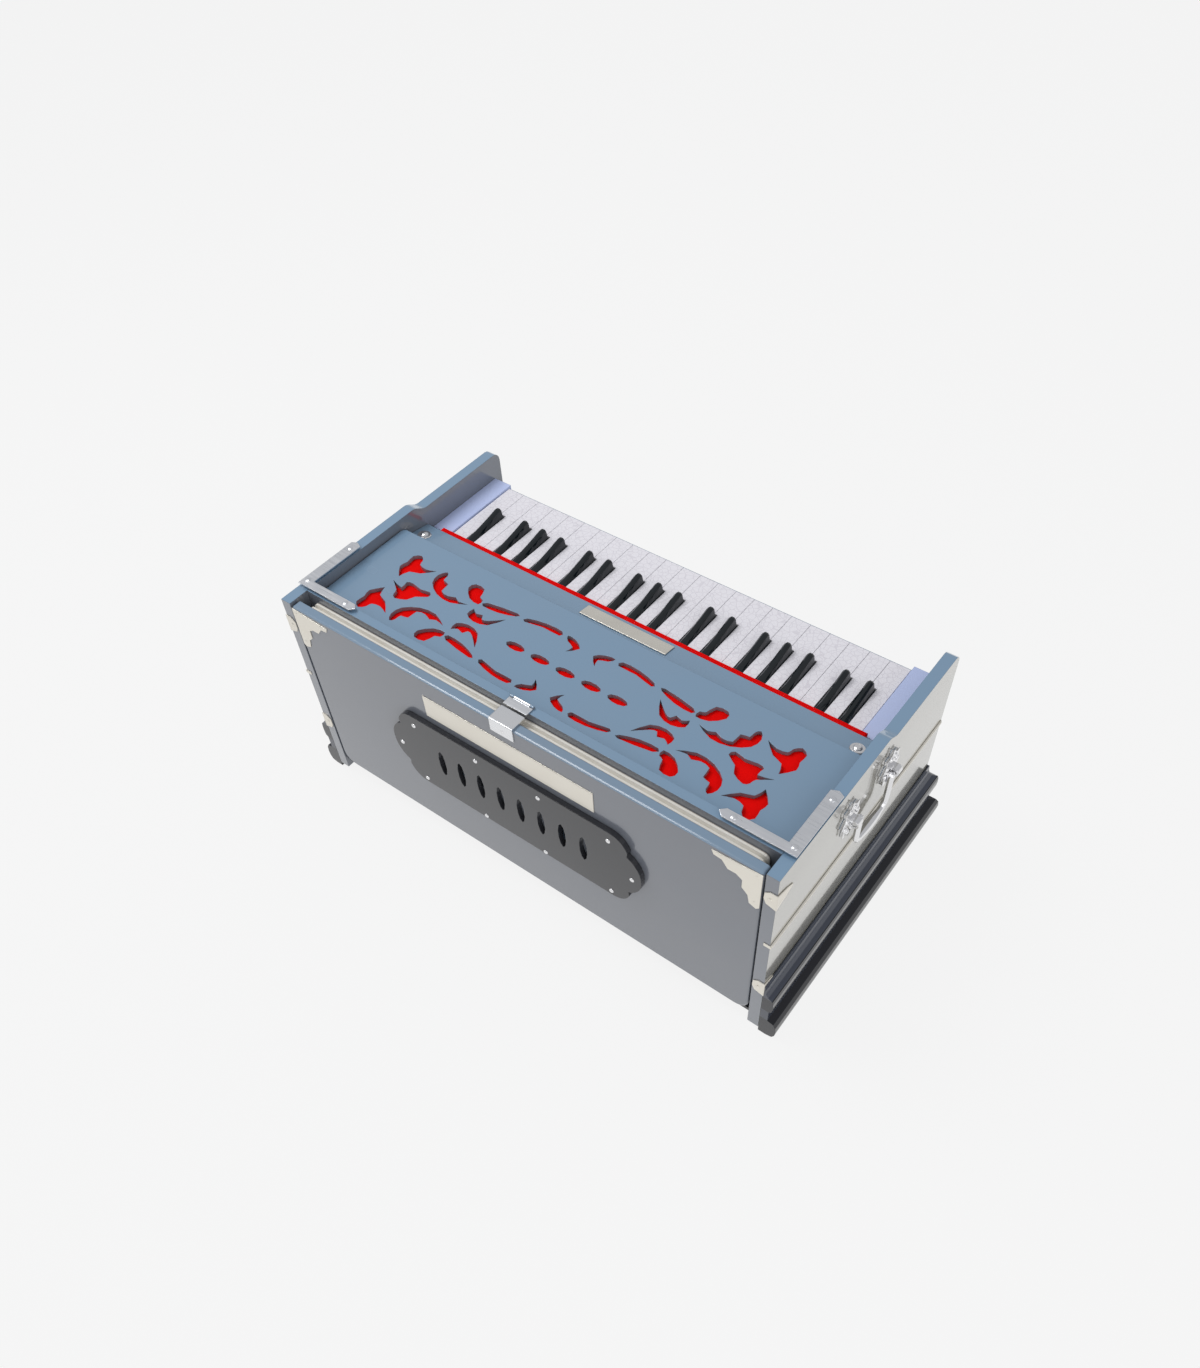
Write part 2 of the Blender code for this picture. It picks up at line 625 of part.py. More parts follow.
def latch_lug_outline():
    """A hinge knuckle that stands on the board, seen along the pin."""
    radius = LATCH_KNUCKLE_RADIUS
    outline = [(LATCH_PIN_Y + radius, CASE_HEIGHT - 0.0015)]
    for step in range(7):
        turn = math.pi * step / 6
        outline.append((LATCH_PIN_Y + radius * math.cos(turn), LATCH_PIN_HEIGHT + radius * math.sin(turn)))
    outline.append((LATCH_PIN_Y - radius, CASE_HEIGHT - 0.0015))
    return outline


def make_latch_catch(materials):
    bm = bmesh.new()
    knuckle_half = LATCH_WIDTH / 2 - LATCH_LUG_WIDTH - GLUE_GAP
    knuckle = [(-knuckle_half, LATCH_KNUCKLE_RADIUS), (knuckle_half, LATCH_KNUCKLE_RADIUS)]
    add_turned(bm, knuckle, "x", LATCH_PIN_Y, LATCH_PIN_HEIGHT, sides=12)
    catch = make_object("latch_catch", bm, materials["steel"])
    tongue = bmesh.new()
    plate_bottom = CASE_HEIGHT + GLUE_GAP * 1.5
    plate_top = plate_bottom + LATCH_PLATE_THICKNESS
    plate_rear = REAR_BOARD_BACK + LATCH_TONGUE_OVERHANG
    leaf_front = LATCH_PIN_Y + LATCH_KNUCKLE_RADIUS + GLUE_GAP
    outline = [(-knuckle_half, LATCH_PIN_Y), (knuckle_half, LATCH_PIN_Y), (knuckle_half, leaf_front),
               (LATCH_WIDTH / 2, leaf_front), (LATCH_WIDTH / 2, plate_rear),
               (-LATCH_WIDTH / 2, plate_rear), (-LATCH_WIDTH / 2, leaf_front), (-knuckle_half, leaf_front)]
    add_prism(tongue, outline, "z", plate_bottom, plate_top)
    combine(catch, tongue, "UNION")
    smooth_by_angle(catch)
    set_origin(catch, (0.0, LATCH_PIN_Y, LATCH_PIN_HEIGHT))
    return catch


def make_reed_chest(materials):
    """The chest under the keys: slotted reed board on top, wind chamber inside, holes for the stops."""
    bm = bmesh.new()
    add_box(bm, (-HALF_BOARD, CHEST_FRONT, CHEST_BOTTOM), (HALF_BOARD, CHEST_REAR, CHEST_TOP))
    chest = make_object("reed_chest", bm, materials["bare_wood"])

    cavity = bmesh.new()
    low = (-HALF_BOARD + CHEST_WALL, CHEST_CAVITY_FRONT, CHEST_FLOOR_TOP)
    high = (HALF_BOARD - CHEST_WALL, CHEST_REAR - CHEST_WALL, CHEST_TOP - CHEST_WALL)
    add_box(cavity, low, high)
    combine(chest, cavity, "DIFFERENCE")

    rails = bmesh.new()
    rail_half = KEYBOARD_LENGTH / 2
    balance_top = LEVER_BOTTOM - GLUE_GAP
    stop_rail_front = KEY_FRONT + 0.0150
    stop_rail_top = LEVER_BOTTOM - (PIVOT_Y - stop_rail_front) * math.sin(math.radians(KEY_TRAVEL_DEG))
    add_box(rails, (-rail_half, PIVOT_Y - BALANCE_RAIL_DEPTH / 2, CHEST_TOP - 0.001),
            (rail_half, PIVOT_Y + BALANCE_RAIL_DEPTH / 2, balance_top))
    add_box(rails, (-rail_half, stop_rail_front, CHEST_TOP - 0.001),
            (rail_half, stop_rail_front + STOP_RAIL_DEPTH, stop_rail_top - 0.0006))
    combine(chest, rails, "UNION")

    plates = bmesh.new()
    slots = bmesh.new()
    slot_middle = (PALLET_START + TAIL_END) / 2
    under_top = CHEST_TOP - CHEST_WALL
    for index in range(key_count()):
        x = tail_centre(index)
        slot_low = slot_middle - REED_SLOT_LENGTH / 2
        slot_high = slot_middle + REED_SLOT_LENGTH / 2
        plate_half = REED_SLOT_WIDTH / 2 + REED_PLATE_MARGIN
        plate_rear = min(slot_high + REED_PLATE_MARGIN, CHEST_REAR - CHEST_WALL - 0.0005)
        add_box(plates, (x - plate_half, slot_low - REED_PLATE_MARGIN, under_top - REED_PLATE_THICKNESS),
                (x + plate_half, plate_rear, under_top + 0.001))
        add_box(slots, (x - REED_SLOT_WIDTH / 2, slot_low, under_top - 0.005),
                (x + REED_SLOT_WIDTH / 2, slot_high, CHEST_TOP + 0.005))
    combine(chest, plates, "UNION")
    combine(chest, slots, "DIFFERENCE")

    holes = bmesh.new()
    for x in stop_centres():
        hole = circle(x, STOP_HEIGHT, STOP_ROD_RADIUS + STOP_HOLE_CLEARANCE, 16)
        add_prism(holes, hole, "y", CHEST_FRONT - 0.01, CHEST_CAVITY_FRONT + 0.005)
    combine(chest, holes, "DIFFERENCE")
    ports = bmesh.new()
    for x in stop_centres():
        port = circle(x, SHUTTER_FRONT + SHUTTER_LENGTH / 2, WIND_HOLE_RADIUS, 16)
        add_prism(ports, port, "z", CHEST_BOTTOM - 0.01, CHEST_FLOOR_TOP + 0.005)
    combine(chest, ports, "DIFFERENCE")
    return chest


def knob_profile():
    """A turned pull knob from its collar at the board to its domed front, as (place, radius)."""
    back = -HALF_DEPTH - GLUE_GAP
    shares = [(0.0, 0.62), (0.12, 0.62), (0.2, 0.42), (0.42, 0.42), (0.56, 0.78), (0.7, 0.98),
              (0.84, 1.0), (0.94, 0.8), (1.0, 0.36)]
    return [(back - KNOB_LENGTH * along, KNOB_RADIUS * width) for along, width in shares]


def make_stop(name, x, materials):
    bm = bmesh.new()
    add_turned(bm, knob_profile(), "y", x, STOP_HEIGHT)
    stop = make_object(name, bm, materials["white_key"])
    rod = bmesh.new()
    rod_front = -HALF_DEPTH - 0.004
    rod_back = SHUTTER_FRONT + SHUTTER_LENGTH * 0.5
    rod_ends = [(rod_front, STOP_ROD_RADIUS), (rod_back, STOP_ROD_RADIUS)]
    add_turned(rod, rod_ends, "y", x, STOP_HEIGHT, sides=12)
    combine(stop, rod, "UNION")
    shutter = bmesh.new()
    shutter_bottom = CHEST_FLOOR_TOP + GLUE_GAP
    add_box(shutter, (x - SHUTTER_WIDTH / 2, SHUTTER_FRONT, shutter_bottom),
            (x + SHUTTER_WIDTH / 2, SHUTTER_FRONT + SHUTTER_LENGTH, shutter_bottom + SHUTTER_THICKNESS))
    combine(stop, shutter, "UNION")
    smooth_by_angle(stop)
    set_origin(stop, (x, -HALF_DEPTH, STOP_HEIGHT))
    return stop


def make_reservoir(materials):
    """A board with its folded edges, hinged at the front under the reed chest."""
    top = CHEST_BOTTOM - GLUE_GAP
    levels = [
        (top, 0.0),
        (top - RESERVOIR_FOLD / 2, RESERVOIR_FOLD_DEPTH),
        (top - RESERVOIR_FOLD, 0.0),
        (top - RESERVOIR_FOLD - RESERVOIR_BOARD, 0.0),
    ]
    half = RESERVOIR_LENGTH / 2
    rings = []
    for height, inset in levels:
        left = -half + inset
        right = half - inset
        front = RESERVOIR_FRONT + inset
        rear = RESERVOIR_REAR - inset
        rings.append([(left, front, height), (right, front, height), (right, rear, height), (left, rear, height)])
    bm = bmesh.new()
    add_loft(bm, rings)
    reservoir = make_object("reservoir", bm, materials["leather"])
    set_origin(reservoir, (0.0, RESERVOIR_FRONT, top))
    return reservoir


def key_count():
    octaves, extra_whites = divmod(WHITE_COUNT, 7)
    extra_keys = {0: 0, 1: 1, 2: 3, 3: 5, 4: 6, 5: 8, 6: 10}[extra_whites]
    return octaves * 12 + extra_keys


def tail_centre(index):
    return -KEYBOARD_LENGTH / 2 + SEMITONE_PITCH * (index + 0.5)


def black_centre(index):
    octave, semitone = divmod(index, 12)
    line = BLACK_LINE_OF_NOTE[NOTE_NAMES[semitone]]
    return -KEYBOARD_LENGTH / 2 + WHITE_PITCH * (octave * 7 + line)


def is_black(index):
    return 0 <= index < key_count() and NOTE_NAMES[index % 12] in BLACK_LINE_OF_NOTE


def white_outline(index):
    """A white key in plan: wide front, notches beside the black keys, and a tail to its pallet."""
    octave, semitone = divmod(index, 12)
    white = octave * 7 + WHITE_OF_NOTE[NOTE_NAMES[semitone]]
    left = -KEYBOARD_LENGTH / 2 + WHITE_PITCH * white + KEY_GAP / 2
    right = left + WHITE_PITCH - KEY_GAP
    notch_front = BLACK_FRONT - NOTCH_GAP - 0.0006
    notch_half = BLACK_WIDTH / 2 + NOTCH_GAP
    neck_left = black_centre(index - 1) + notch_half if is_black(index - 1) else left
    neck_right = black_centre(index + 1) - notch_half if is_black(index + 1) else right
    tail_left = tail_centre(index) - TAIL_WIDTH / 2
    tail_right = tail_centre(index) + TAIL_WIDTH / 2
    outline = [(left, KEY_FRONT), (right, KEY_FRONT)]
    if neck_right < right:
        outline += [(right, notch_front), (neck_right, notch_front)]
    outline += [(neck_right, HEAD_END), (tail_right, TAIL_START), (tail_right, TAIL_END)]
    outline += [(tail_left, TAIL_END), (tail_left, TAIL_START), (neck_left, HEAD_END)]
    if neck_left > left:
        outline += [(neck_left, notch_front), (left, notch_front)]
    return outline


def black_outline(index):
    centre = black_centre(index)
    tail_left = tail_centre(index) - TAIL_WIDTH / 2
    tail_right = tail_centre(index) + TAIL_WIDTH / 2
    left = centre - BLACK_WIDTH / 2
    right = centre + BLACK_WIDTH / 2
    return [(left, BLACK_FRONT), (right, BLACK_FRONT), (right, HEAD_END), (tail_right, TAIL_START),
            (tail_right, TAIL_END), (tail_left, TAIL_END), (tail_left, TAIL_START), (left, HEAD_END)]


def black_section(centre, y, height, scale=1.0):
    """One section across a black key's cap: a wide foot and a narrower rounded ridge."""
    foot = BLACK_WIDTH / 2 * scale
    ridge = BLACK_RIDGE_WIDTH / 2 * scale
    base = KEY_TOP - 0.0030
    top = KEY_TOP + height
    crown = min(0.0018, height / 2)
    return [(centre - foot, y, base), (centre - foot, y, KEY_TOP - 0.0005), (centre - ridge, y, top - crown),
            (centre - ridge * 0.45, y, top), (centre + ridge * 0.45, y, top), (centre + ridge, y, top - crown),
            (centre + foot, y, KEY_TOP - 0.0005), (centre + foot, y, base)]


def add_black_cap(bm, centre):
    """The raised cap: a steep front, then a ridge that falls in a hollow curve towards the rail."""
    inset = 0.0003
    rings = [black_section(centre, BLACK_FRONT + inset, 0.0010, 0.9)]
    rings.append(black_section(centre, BLACK_FRONT + 0.0016, BLACK_HEIGHT * 0.92, 0.96))
    rings.append(black_section(centre, BLACK_FRONT + 0.0036, BLACK_HEIGHT, 0.98))
    start = BLACK_FRONT + 0.0060
    end = HEAD_END - 0.0010
    steps = 6
    for step in range(steps + 1):
        along = step / steps
        fall = 1 - (1 - along) ** 1.7
        height = BLACK_HEIGHT - (BLACK_HEIGHT - BLACK_TAIL_HEIGHT) * fall
        rings.append(black_section(centre, start + (end - start) * along, height, 0.98))
    add_loft(bm, rings)


def make_key(index, materials):
    """A lever with its playing surface in front and its pallet over the reed slot behind."""
    octave, semitone = divmod(index, 12)
    black = is_black(index)
    name = "key_%s_%d" % (NOTE_NAMES[semitone], octave + 1)
    outline = black_outline(index) if black else white_outline(index)
    bm = bmesh.new()
    add_prism(bm, outline, "z", LEVER_BOTTOM, KEY_TOP)
    key = make_object(name, bm, materials["black_key" if black else "white_key"])
    pallet = bmesh.new()
    half = TAIL_WIDTH / 2 - PALLET_SIDE_INSET
    x = tail_centre(index)
    low = (x - half, PALLET_START, CHEST_TOP + GLUE_GAP)
    add_box(pallet, low, (x + half, TAIL_END - PALLET_END_INSET, LEVER_BOTTOM + PALLET_RISE))
    combine(key, pallet, "UNION")
    if black:
        cap = bmesh.new()
        add_black_cap(cap, black_centre(index))
        combine(key, cap, "UNION")
        smooth_by_angle(key)
    set_origin(key, (x, PIVOT_Y, LEVER_BOTTOM))
    return key


def make_key_block(name, side, materials):
    """The filler beside the end key; its low rear step carries the name rail."""
    start, end = sorted((side * (KEYBOARD_LENGTH / 2 + BLOCK_GAP), side * HALF_BOARD))
    foot = CHEST_TOP + GLUE_GAP
    outline = [(CHEST_FRONT, foot), (RAIL_REAR, foot), (RAIL_REAR, RAIL_BOTTOM - GLUE_GAP),
               (HEAD_END - 0.0060, RAIL_BOTTOM - GLUE_GAP), (HEAD_END - 0.0060, BLOCK_TOP),
               (CHEST_FRONT, BLOCK_TOP)]
    bm = bmesh.new()
    add_prism(bm, outline, "x", start, end)
    return make_object(name, bm, materials["block"])


def make_name_rail(materials):
    """The sloping rail over the key pivots, with the comb of springs that close the pallets."""
    outline = [(RAIL_FRONT, RAIL_BOTTOM), (RAIL_REAR, RAIL_BOTTOM), (RAIL_REAR, RAIL_REAR_TOP)]
    for step in range(4):
        turn = math.pi / 2 * (1 + step / 3)
        y = RAIL_FRONT + RAIL_FRONT_RADIUS * (1 + math.cos(turn))
        outline.append((y, RAIL_FRONT_TOP - RAIL_FRONT_RADIUS * (1 - math.sin(turn))))
    bm = bmesh.new()
    add_prism(bm, outline, "x", -HALF_BOARD, HALF_BOARD)
    rail = make_object("name_rail", bm, materials["lacquer"])
    comb = bmesh.new()
    bottom = KEY_TOP + SPRING_LIFT
    for index in range(key_count()):
        x = tail_centre(index)
        outline = [(RAIL_REAR - 0.002, bottom), (RAIL_REAR + SPRING_LENGTH, bottom),
                   (RAIL_REAR + SPRING_LENGTH, bottom + SPRING_THICKNESS / 2),
                   (RAIL_REAR - 0.002, bottom + SPRING_THICKNESS)]
        add_prism(comb, outline, "x", x - SPRING_WIDTH / 2, x + SPRING_WIDTH / 2)
    combine(rail, comb, "UNION")
    return rail


def fretwork_outlines():
    """Every cut-out of the top cover in metres, mirrored left to right and front to rear."""
    centre_y = (COVER_FRONT + COVER_REAR) / 2 + PATTERN_OFFSET
    outlines = []
    for motif in MIRRORED_MOTIFS:
        for flip_x in (1, -1):
            for flip_y in (1, -1):
                outlines.append([(flip_x * u, flip_y * v) for u, v in smooth_outline(motif)])
    for flip_x in (1, -1):
        outlines.append([(flip_x * u, v) for u, v in smooth_outline(SIDE_LEAF)])
    for centre in MIDDLE_LENS_CENTRES:
        outline = lens(0.0, centre, MIDDLE_LENS_LENGTH, MIDDLE_LENS_WIDTH)
        outlines.append([(v, u) for u, v in outline])
    return [[(u * MM, v * MM + centre_y) for u, v in outline] for outline in outlines]


def make_top_cover(materials):
    radius = COVER_CORNER_RADIUS
    outline = rounded_rectangle(-COVER_HALF, COVER_FRONT, COVER_HALF, COVER_REAR, (radius, radius, 0, 0))
    bm = bmesh.new()
    add_prism(bm, outline, "z", COVER_BOTTOM, COVER_TOP)
    cover = make_object("top_cover", bm, materials["lacquer"])
    batten = bmesh.new()
    batten_half = HALF_INSIDE - LEDGE_WIDTH - 0.0020
    low = (-batten_half, COVER_FRONT + 0.0004, COVER_BOTTOM - BATTEN_HEIGHT)
    add_box(batten, low, (batten_half, COVER_FRONT + BATTEN_DEPTH, COVER_BOTTOM + 0.0015))
    combine(cover, batten, "UNION")
    fretwork = bmesh.new()
    for outline in fretwork_outlines():
        add_prism(fretwork, outline, "z", COVER_BOTTOM - 0.002, COVER_TOP + 0.002)
    combine(cover, fretwork, "DIFFERENCE")
    return cover


def make_cover_cloth(materials):
    half = HALF_INSIDE - LEDGE_WIDTH - CLOTH_SIDE_GAP
    top = COVER_BOTTOM - GLUE_GAP
    bm = bmesh.new()
    low = (-half, COVER_FRONT + BATTEN_DEPTH + CLOTH_FRONT_GAP, top - CLOTH_THICKNESS)
    add_box(bm, low, (half, COVER_REAR - CLOTH_SIDE_GAP, top))
    return make_object("cover_cloth", bm, materials["cloth"])


def make_pump_flap(materials):
    half = HALF_INSIDE - FLAP_SIDE_GAP
    radius = FLAP_CORNER_RADIUS
    radii = (radius, radius, FLAP_LOW_CORNER_RADIUS, FLAP_LOW_CORNER_RADIUS)
    outline = rounded_rectangle(-half, FLAP_BOTTOM, half, FLAP_TOP, radii, steps=5)
    bm = bmesh.new()
    add_prism(bm, outline, "y", FLAP_FRONT, FLAP_BACK)
    back_rim = [edge for edge in bm.edges if all(vert.co.y > FLAP_BACK - 1e-6 for vert in edge.verts)]
    bmesh.ops.bevel(bm, geom=back_rim, offset=FLAP_EDGE_RADIUS, segments=2, profile=0.5,
                    affect="EDGES", material=-1)
    flap = make_object("pump_flap", bm, materials["lacquer"])
    intakes = bmesh.new()
    for side in (-1, 1):
        intake = circle(side * INTAKE_SPACING / 2, PLAQUE_CENTRE_HEIGHT, INTAKE_RADIUS, 24)
        add_prism(intakes, intake, "y", FLAP_FRONT - 0.01, FLAP_BACK + 0.01)
    combine(flap, intakes, "DIFFERENCE")
    strap = bmesh.new()
    strap_front = REAR_BOARD_BACK + LATCH_TONGUE_OVERHANG + STRAP_FRONT_GAP
    strap_top = FLAP_TOP + STRAP_THICKNESS
    under = FLAP_TOP + 0.0008
    sunk = FLAP_TOP - 0.0020
    back = FLAP_BACK + STRAP_REACH
    inside = FLAP_BACK - 0.0025
    outline = [(strap_front, under), (FLAP_FRONT + 0.001, under), (FLAP_FRONT + 0.001, sunk), (inside, sunk),
               (inside, strap_top - STRAP_DROP), (back, strap_top - STRAP_DROP), (back, strap_top - 0.0006),
               (back - 0.0006, strap_top), (strap_front, strap_top)]
    add_prism(strap, outline, "x", -LATCH_WIDTH / 2, LATCH_WIDTH / 2)
    combine(flap, strap, "UNION")
    smooth_by_angle(flap)
    set_origin(flap, (0.0, FLAP_FRONT, FLAP_BOTTOM))
    return flap


def plaque_outline():
    """The scalloped plaque: a quarter's points mirrored up and down, then left and right."""
    corner = (PLAQUE_STRAIGHT, PLAQUE_HEIGHT / 2 / MM)
    top = [corner, corner] + PLAQUE_END
    right = top + [(u, -v) for u, v in reversed(top)]
    whole = right + [(-u, -v) for u, v in right]
    return [(u * MM, PLAQUE_CENTRE_HEIGHT + v * MM) for u, v in smooth_outline(whole)]


def make_pump_plaque(materials):
    bm = bmesh.new()
    add_prism(bm, plaque_outline(), "y", FLAP_BACK + GLUE_GAP, PLAQUE_BACK)
    plaque = make_object("pump_plaque", bm, materials["plaque"])
    slots = bmesh.new()
    first = -AIR_SLOT_SPACING * (AIR_SLOT_COUNT - 1) / 2
    for index in range(AIR_SLOT_COUNT):
        centre = first + AIR_SLOT_SPACING * index
        outline = lens(centre, PLAQUE_CENTRE_HEIGHT, AIR_SLOT_LENGTH, AIR_SLOT_WIDTH)
        add_prism(slots, outline, "y", FLAP_BACK - 0.005, PLAQUE_BACK + 0.005)
    combine(plaque, slots, "DIFFERENCE")
    return plaque


def make_pump_bellows(materials):
    """The closed bellows between the rear board and the flap: two card ribs with folds between."""
    start = REAR_BOARD_BACK + GLUE_GAP
    end = FLAP_FRONT - GLUE_GAP
    half = HALF_INSIDE - BELLOWS_SIDE_GAP
    stations = [(0.0, 0.0), (0.22, 0.0), (0.36, 1.0), (0.5, 0.0), (0.7, 0.0), (0.84, 1.0), (1.0, 0.0)]
    rings = []
    for along, fold in stations:
        inset = PLEAT_DEPTH * fold
        radius = BELLOWS_CORNER_RADIUS
        outline = rounded_rectangle(-half + inset, BELLOWS_BOTTOM, half - inset, BELLOWS_TOP - inset,
                                    (0.002, 0.002, radius, radius), steps=3)
        y = start + (end - start) * along
        rings.append([(u, y, v) for u, v in outline])
    bm = bmesh.new()
    add_loft(bm, rings)
    return make_object("pump_bellows", bm, materials["bellows"])


def main():
    start_clean()
    materials = make_materials()
    pieces = [
        make_base(materials),
        make_side_wall("side_wall_left", -1, materials),
        make_side_wall("side_wall_right", 1, materials),
        make_front_board(materials),
        make_rear_board(materials),
        make_reed_chest(materials),
        make_key_block("key_block_left", -1, materials),
        make_key_block("key_block_right", 1, materials),
        make_name_rail(materials),
        make_top_cover(materials),
        make_cover_cloth(materials),
        make_pump_flap(materials),
        make_pump_plaque(materials),
        make_pump_bellows(materials),
        make_latch_catch(materials),
        make_reservoir(materials),
        make_handle("handle_left", -1, materials),
        make_handle("handle_right", 1, materials),
    ]
    for number, x in enumerate(stop_centres(), start=1):
        pieces.append(make_stop("stop_%d" % number, x, materials))
    for index in range(key_count()):
        pieces.append(make_key(index, materials))

    harmonium = bpy.data.objects.new("harmonium", None)
    bpy.context.scene.collection.objects.link(harmonium)
    harmonium.location = (0.0, ORIGIN_SHIFT, 0.0)
    for piece in pieces:
        piece.parent = harmonium


main()
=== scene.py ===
# %% [markdown]
# # Dressing a hand-pumped harmonium
# The construction is already there as solids, one for each piece. This lesson gives every solid its
# finish and adds the thin trim that a joiner nails on last: felt, brackets, plates, strips and screws.

# %% Load the frame
import json
import math

import bmesh
import bpy
from mathutils import Euler, Matrix, Vector


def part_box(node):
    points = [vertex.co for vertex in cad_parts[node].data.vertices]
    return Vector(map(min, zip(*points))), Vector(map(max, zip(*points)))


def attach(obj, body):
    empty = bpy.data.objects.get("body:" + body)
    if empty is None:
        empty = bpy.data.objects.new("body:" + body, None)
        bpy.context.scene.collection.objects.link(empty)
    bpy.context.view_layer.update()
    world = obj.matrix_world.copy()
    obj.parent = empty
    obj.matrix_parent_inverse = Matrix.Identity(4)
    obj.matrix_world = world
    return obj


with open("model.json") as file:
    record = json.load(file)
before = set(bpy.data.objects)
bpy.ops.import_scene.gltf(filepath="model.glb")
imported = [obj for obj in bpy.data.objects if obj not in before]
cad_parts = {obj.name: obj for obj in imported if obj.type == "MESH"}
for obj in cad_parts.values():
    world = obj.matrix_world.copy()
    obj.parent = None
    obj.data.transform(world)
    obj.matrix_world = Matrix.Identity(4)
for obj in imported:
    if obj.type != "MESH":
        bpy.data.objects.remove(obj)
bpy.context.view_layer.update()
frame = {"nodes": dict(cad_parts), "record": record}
nodes = frame["nodes"]
MM = 0.001

# %% [markdown]
# The photograph looks down from behind the bass end. The camera's place comes from fitting the
# keyboard's even pitch and the case's edges, so the same corner of the case lands on the same spot.
# The picture's middle lies above the lens's own centre, so the camera is shifted and not turned.

# %% Camera
PHOTO_HEIGHT = 1368
FOCAL_PIXELS = 1081.9
CENTRE_ROW = 804.4
CAMERA_PLACE = (-0.4781, 0.5920, 0.9556)
CAMERA_TURN_DEG = (37.476, 2.731, -142.585)
SENSOR_WIDTH = 36.0
NEAREST_SEEN = 0.01

scene = bpy.context.scene
camera_data = bpy.data.cameras.new("camera")
camera = bpy.data.objects.new("camera", camera_data)
scene.collection.objects.link(camera)
scene.camera = camera
camera.location = CAMERA_PLACE
camera.rotation_euler = Euler([math.radians(turn) for turn in CAMERA_TURN_DEG])
camera_data.sensor_width = SENSOR_WIDTH
camera_data.lens = FOCAL_PIXELS / PHOTO_HEIGHT * SENSOR_WIDTH
camera_data.shift_y = (CENTRE_ROW - PHOTO_HEIGHT / 2) / PHOTO_HEIGHT
camera_data.clip_start = NEAREST_SEEN
print("lens", round(camera_data.lens, 2), "shift", round(camera_data.shift_y, 3))

# %% [markdown]
# A lacquered case shows itself by what it mirrors. The world is a mid-grey room for the mirrors and for
# the light. It is near white only to rays that come straight from the camera or through something
# clear, and the Light Path node tells those rays from the rest.

# %% World
BACKDROP = (0.93, 0.93, 0.93, 1.0)
ROOM = (0.52, 0.525, 0.54, 1.0)

scene.view_settings.view_transform = "Standard"
world = bpy.data.worlds.new("studio")
scene.world = world
world.use_nodes = True
sky = world.node_tree
rays = sky.nodes.new("ShaderNodeLightPath")
seen = sky.nodes.new("ShaderNodeMath")
seen.operation = "MAXIMUM"
sky.links.new(rays.outputs["Is Camera Ray"], seen.inputs[0])
sky.links.new(rays.outputs["Is Transmission Ray"], seen.inputs[1])
tint = sky.nodes.new("ShaderNodeMix")
tint.data_type = "RGBA"
tint.inputs[6].default_value = ROOM
tint.inputs[7].default_value = BACKDROP
sky.links.new(seen.outputs[0], tint.inputs[0])
sky.links.new(tint.outputs[2], sky.nodes["Background"].inputs["Color"])
sky.nodes["Background"].inputs["Strength"].default_value = 1.0
print("world nodes", len(sky.nodes))

# %% [markdown]
# Two large square lamps give the flat boards a slow gradient: a key lamp high on the treble side, and a
# weaker, larger one behind the case on the bass side.

# %% Lamps
LAMP_TARGET = Vector((0.0, 0.0, 0.12))
LAMPS = {
    "key_lamp": {"place": (0.9, 0.3, 1.9), "size": 0.9, "watts": 17.0},
    "fill_lamp": {"place": (-1.6, 1.0, 1.0), "size": 1.4, "watts": 9.0},
}

for name, lamp in LAMPS.items():
    light = bpy.data.lights.new(name, "AREA")
    light.size = lamp["size"]
    light.energy = lamp["watts"]
    item = bpy.data.objects.new(name, light)
    scene.collection.objects.link(item)
    item.location = lamp["place"]
    item.rotation_euler = (LAMP_TARGET - item.location).to_track_quat("-Z", "Y").to_euler()
print("lamps", len(LAMPS))

# %% [markdown]
# The floor is one large flat face. It lies a hair below the plinth, so the two never flicker.

# %% Floor
FLOOR_REACH = 6.0
FLOOR_LEVEL = -0.0005

bm = bmesh.new()
bmesh.ops.create_grid(bm, x_segments=1, y_segments=1, size=FLOOR_REACH)
floor_mesh = bpy.data.meshes.new("floor")
bm.to_mesh(floor_mesh)
bm.free()
floor = bpy.data.objects.new("floor", floor_mesh)
scene.collection.objects.link(floor)
floor.location.z = FLOOR_LEVEL
print("floor", FLOOR_REACH * 2, "m wide, faces", len(floor_mesh.polygons))

# %% [markdown]
# Shader maths reads best as ordinary expressions, so one small class wraps a socket and turns plus,
# minus, times and comparisons into Math nodes. Colours are mixed by their own node.


# %% A class for shader maths
class Socket:
    def __init__(self, tree, link):
        self.tree = tree
        self.link = link

    def maths(self, operation, other=None, flip=False):
        node = self.tree.nodes.new("ShaderNodeMath")
        node.operation = operation
        values = [self, other] if not flip else [other, self]
        for slot, value in zip(node.inputs, values):
            put(self.tree, slot, value)
        return Socket(self.tree, node.outputs[0])

    def __add__(self, other):
        return self.maths("ADD", other)

    def __mul__(self, other):
        return self.maths("MULTIPLY", other)

    def __rsub__(self, other):
        return self.maths("SUBTRACT", other, flip=True)

    def __mod__(self, other):
        return self.maths("FLOORED_MODULO", other)

    def __abs__(self):
        return self.maths("ABSOLUTE")

    def __gt__(self, other):
        return self.maths("GREATER_THAN", other)

    def __lt__(self, other):
        return self.maths("LESS_THAN", other)

    __radd__ = __add__
    __rmul__ = __mul__


def put(tree, slot, value):
    """Links a socket into a slot, or sets the slot to a constant."""
    if isinstance(value, Socket):
        tree.links.new(value.link, slot)
    elif value is not None:
        slot.default_value = value


# %% [markdown]
# Every finish starts from the same base: a Principled shader and the object's own coordinates, in
# metres. The class below keeps them together, with the few nodes that all finishes use: noise, a colour
# mix, a relief, one axis of a place and one axis of the surface's direction.

# %% A class for finishes
COAT_ROUGHNESS = 0.06
BEVEL_SAMPLES = 4


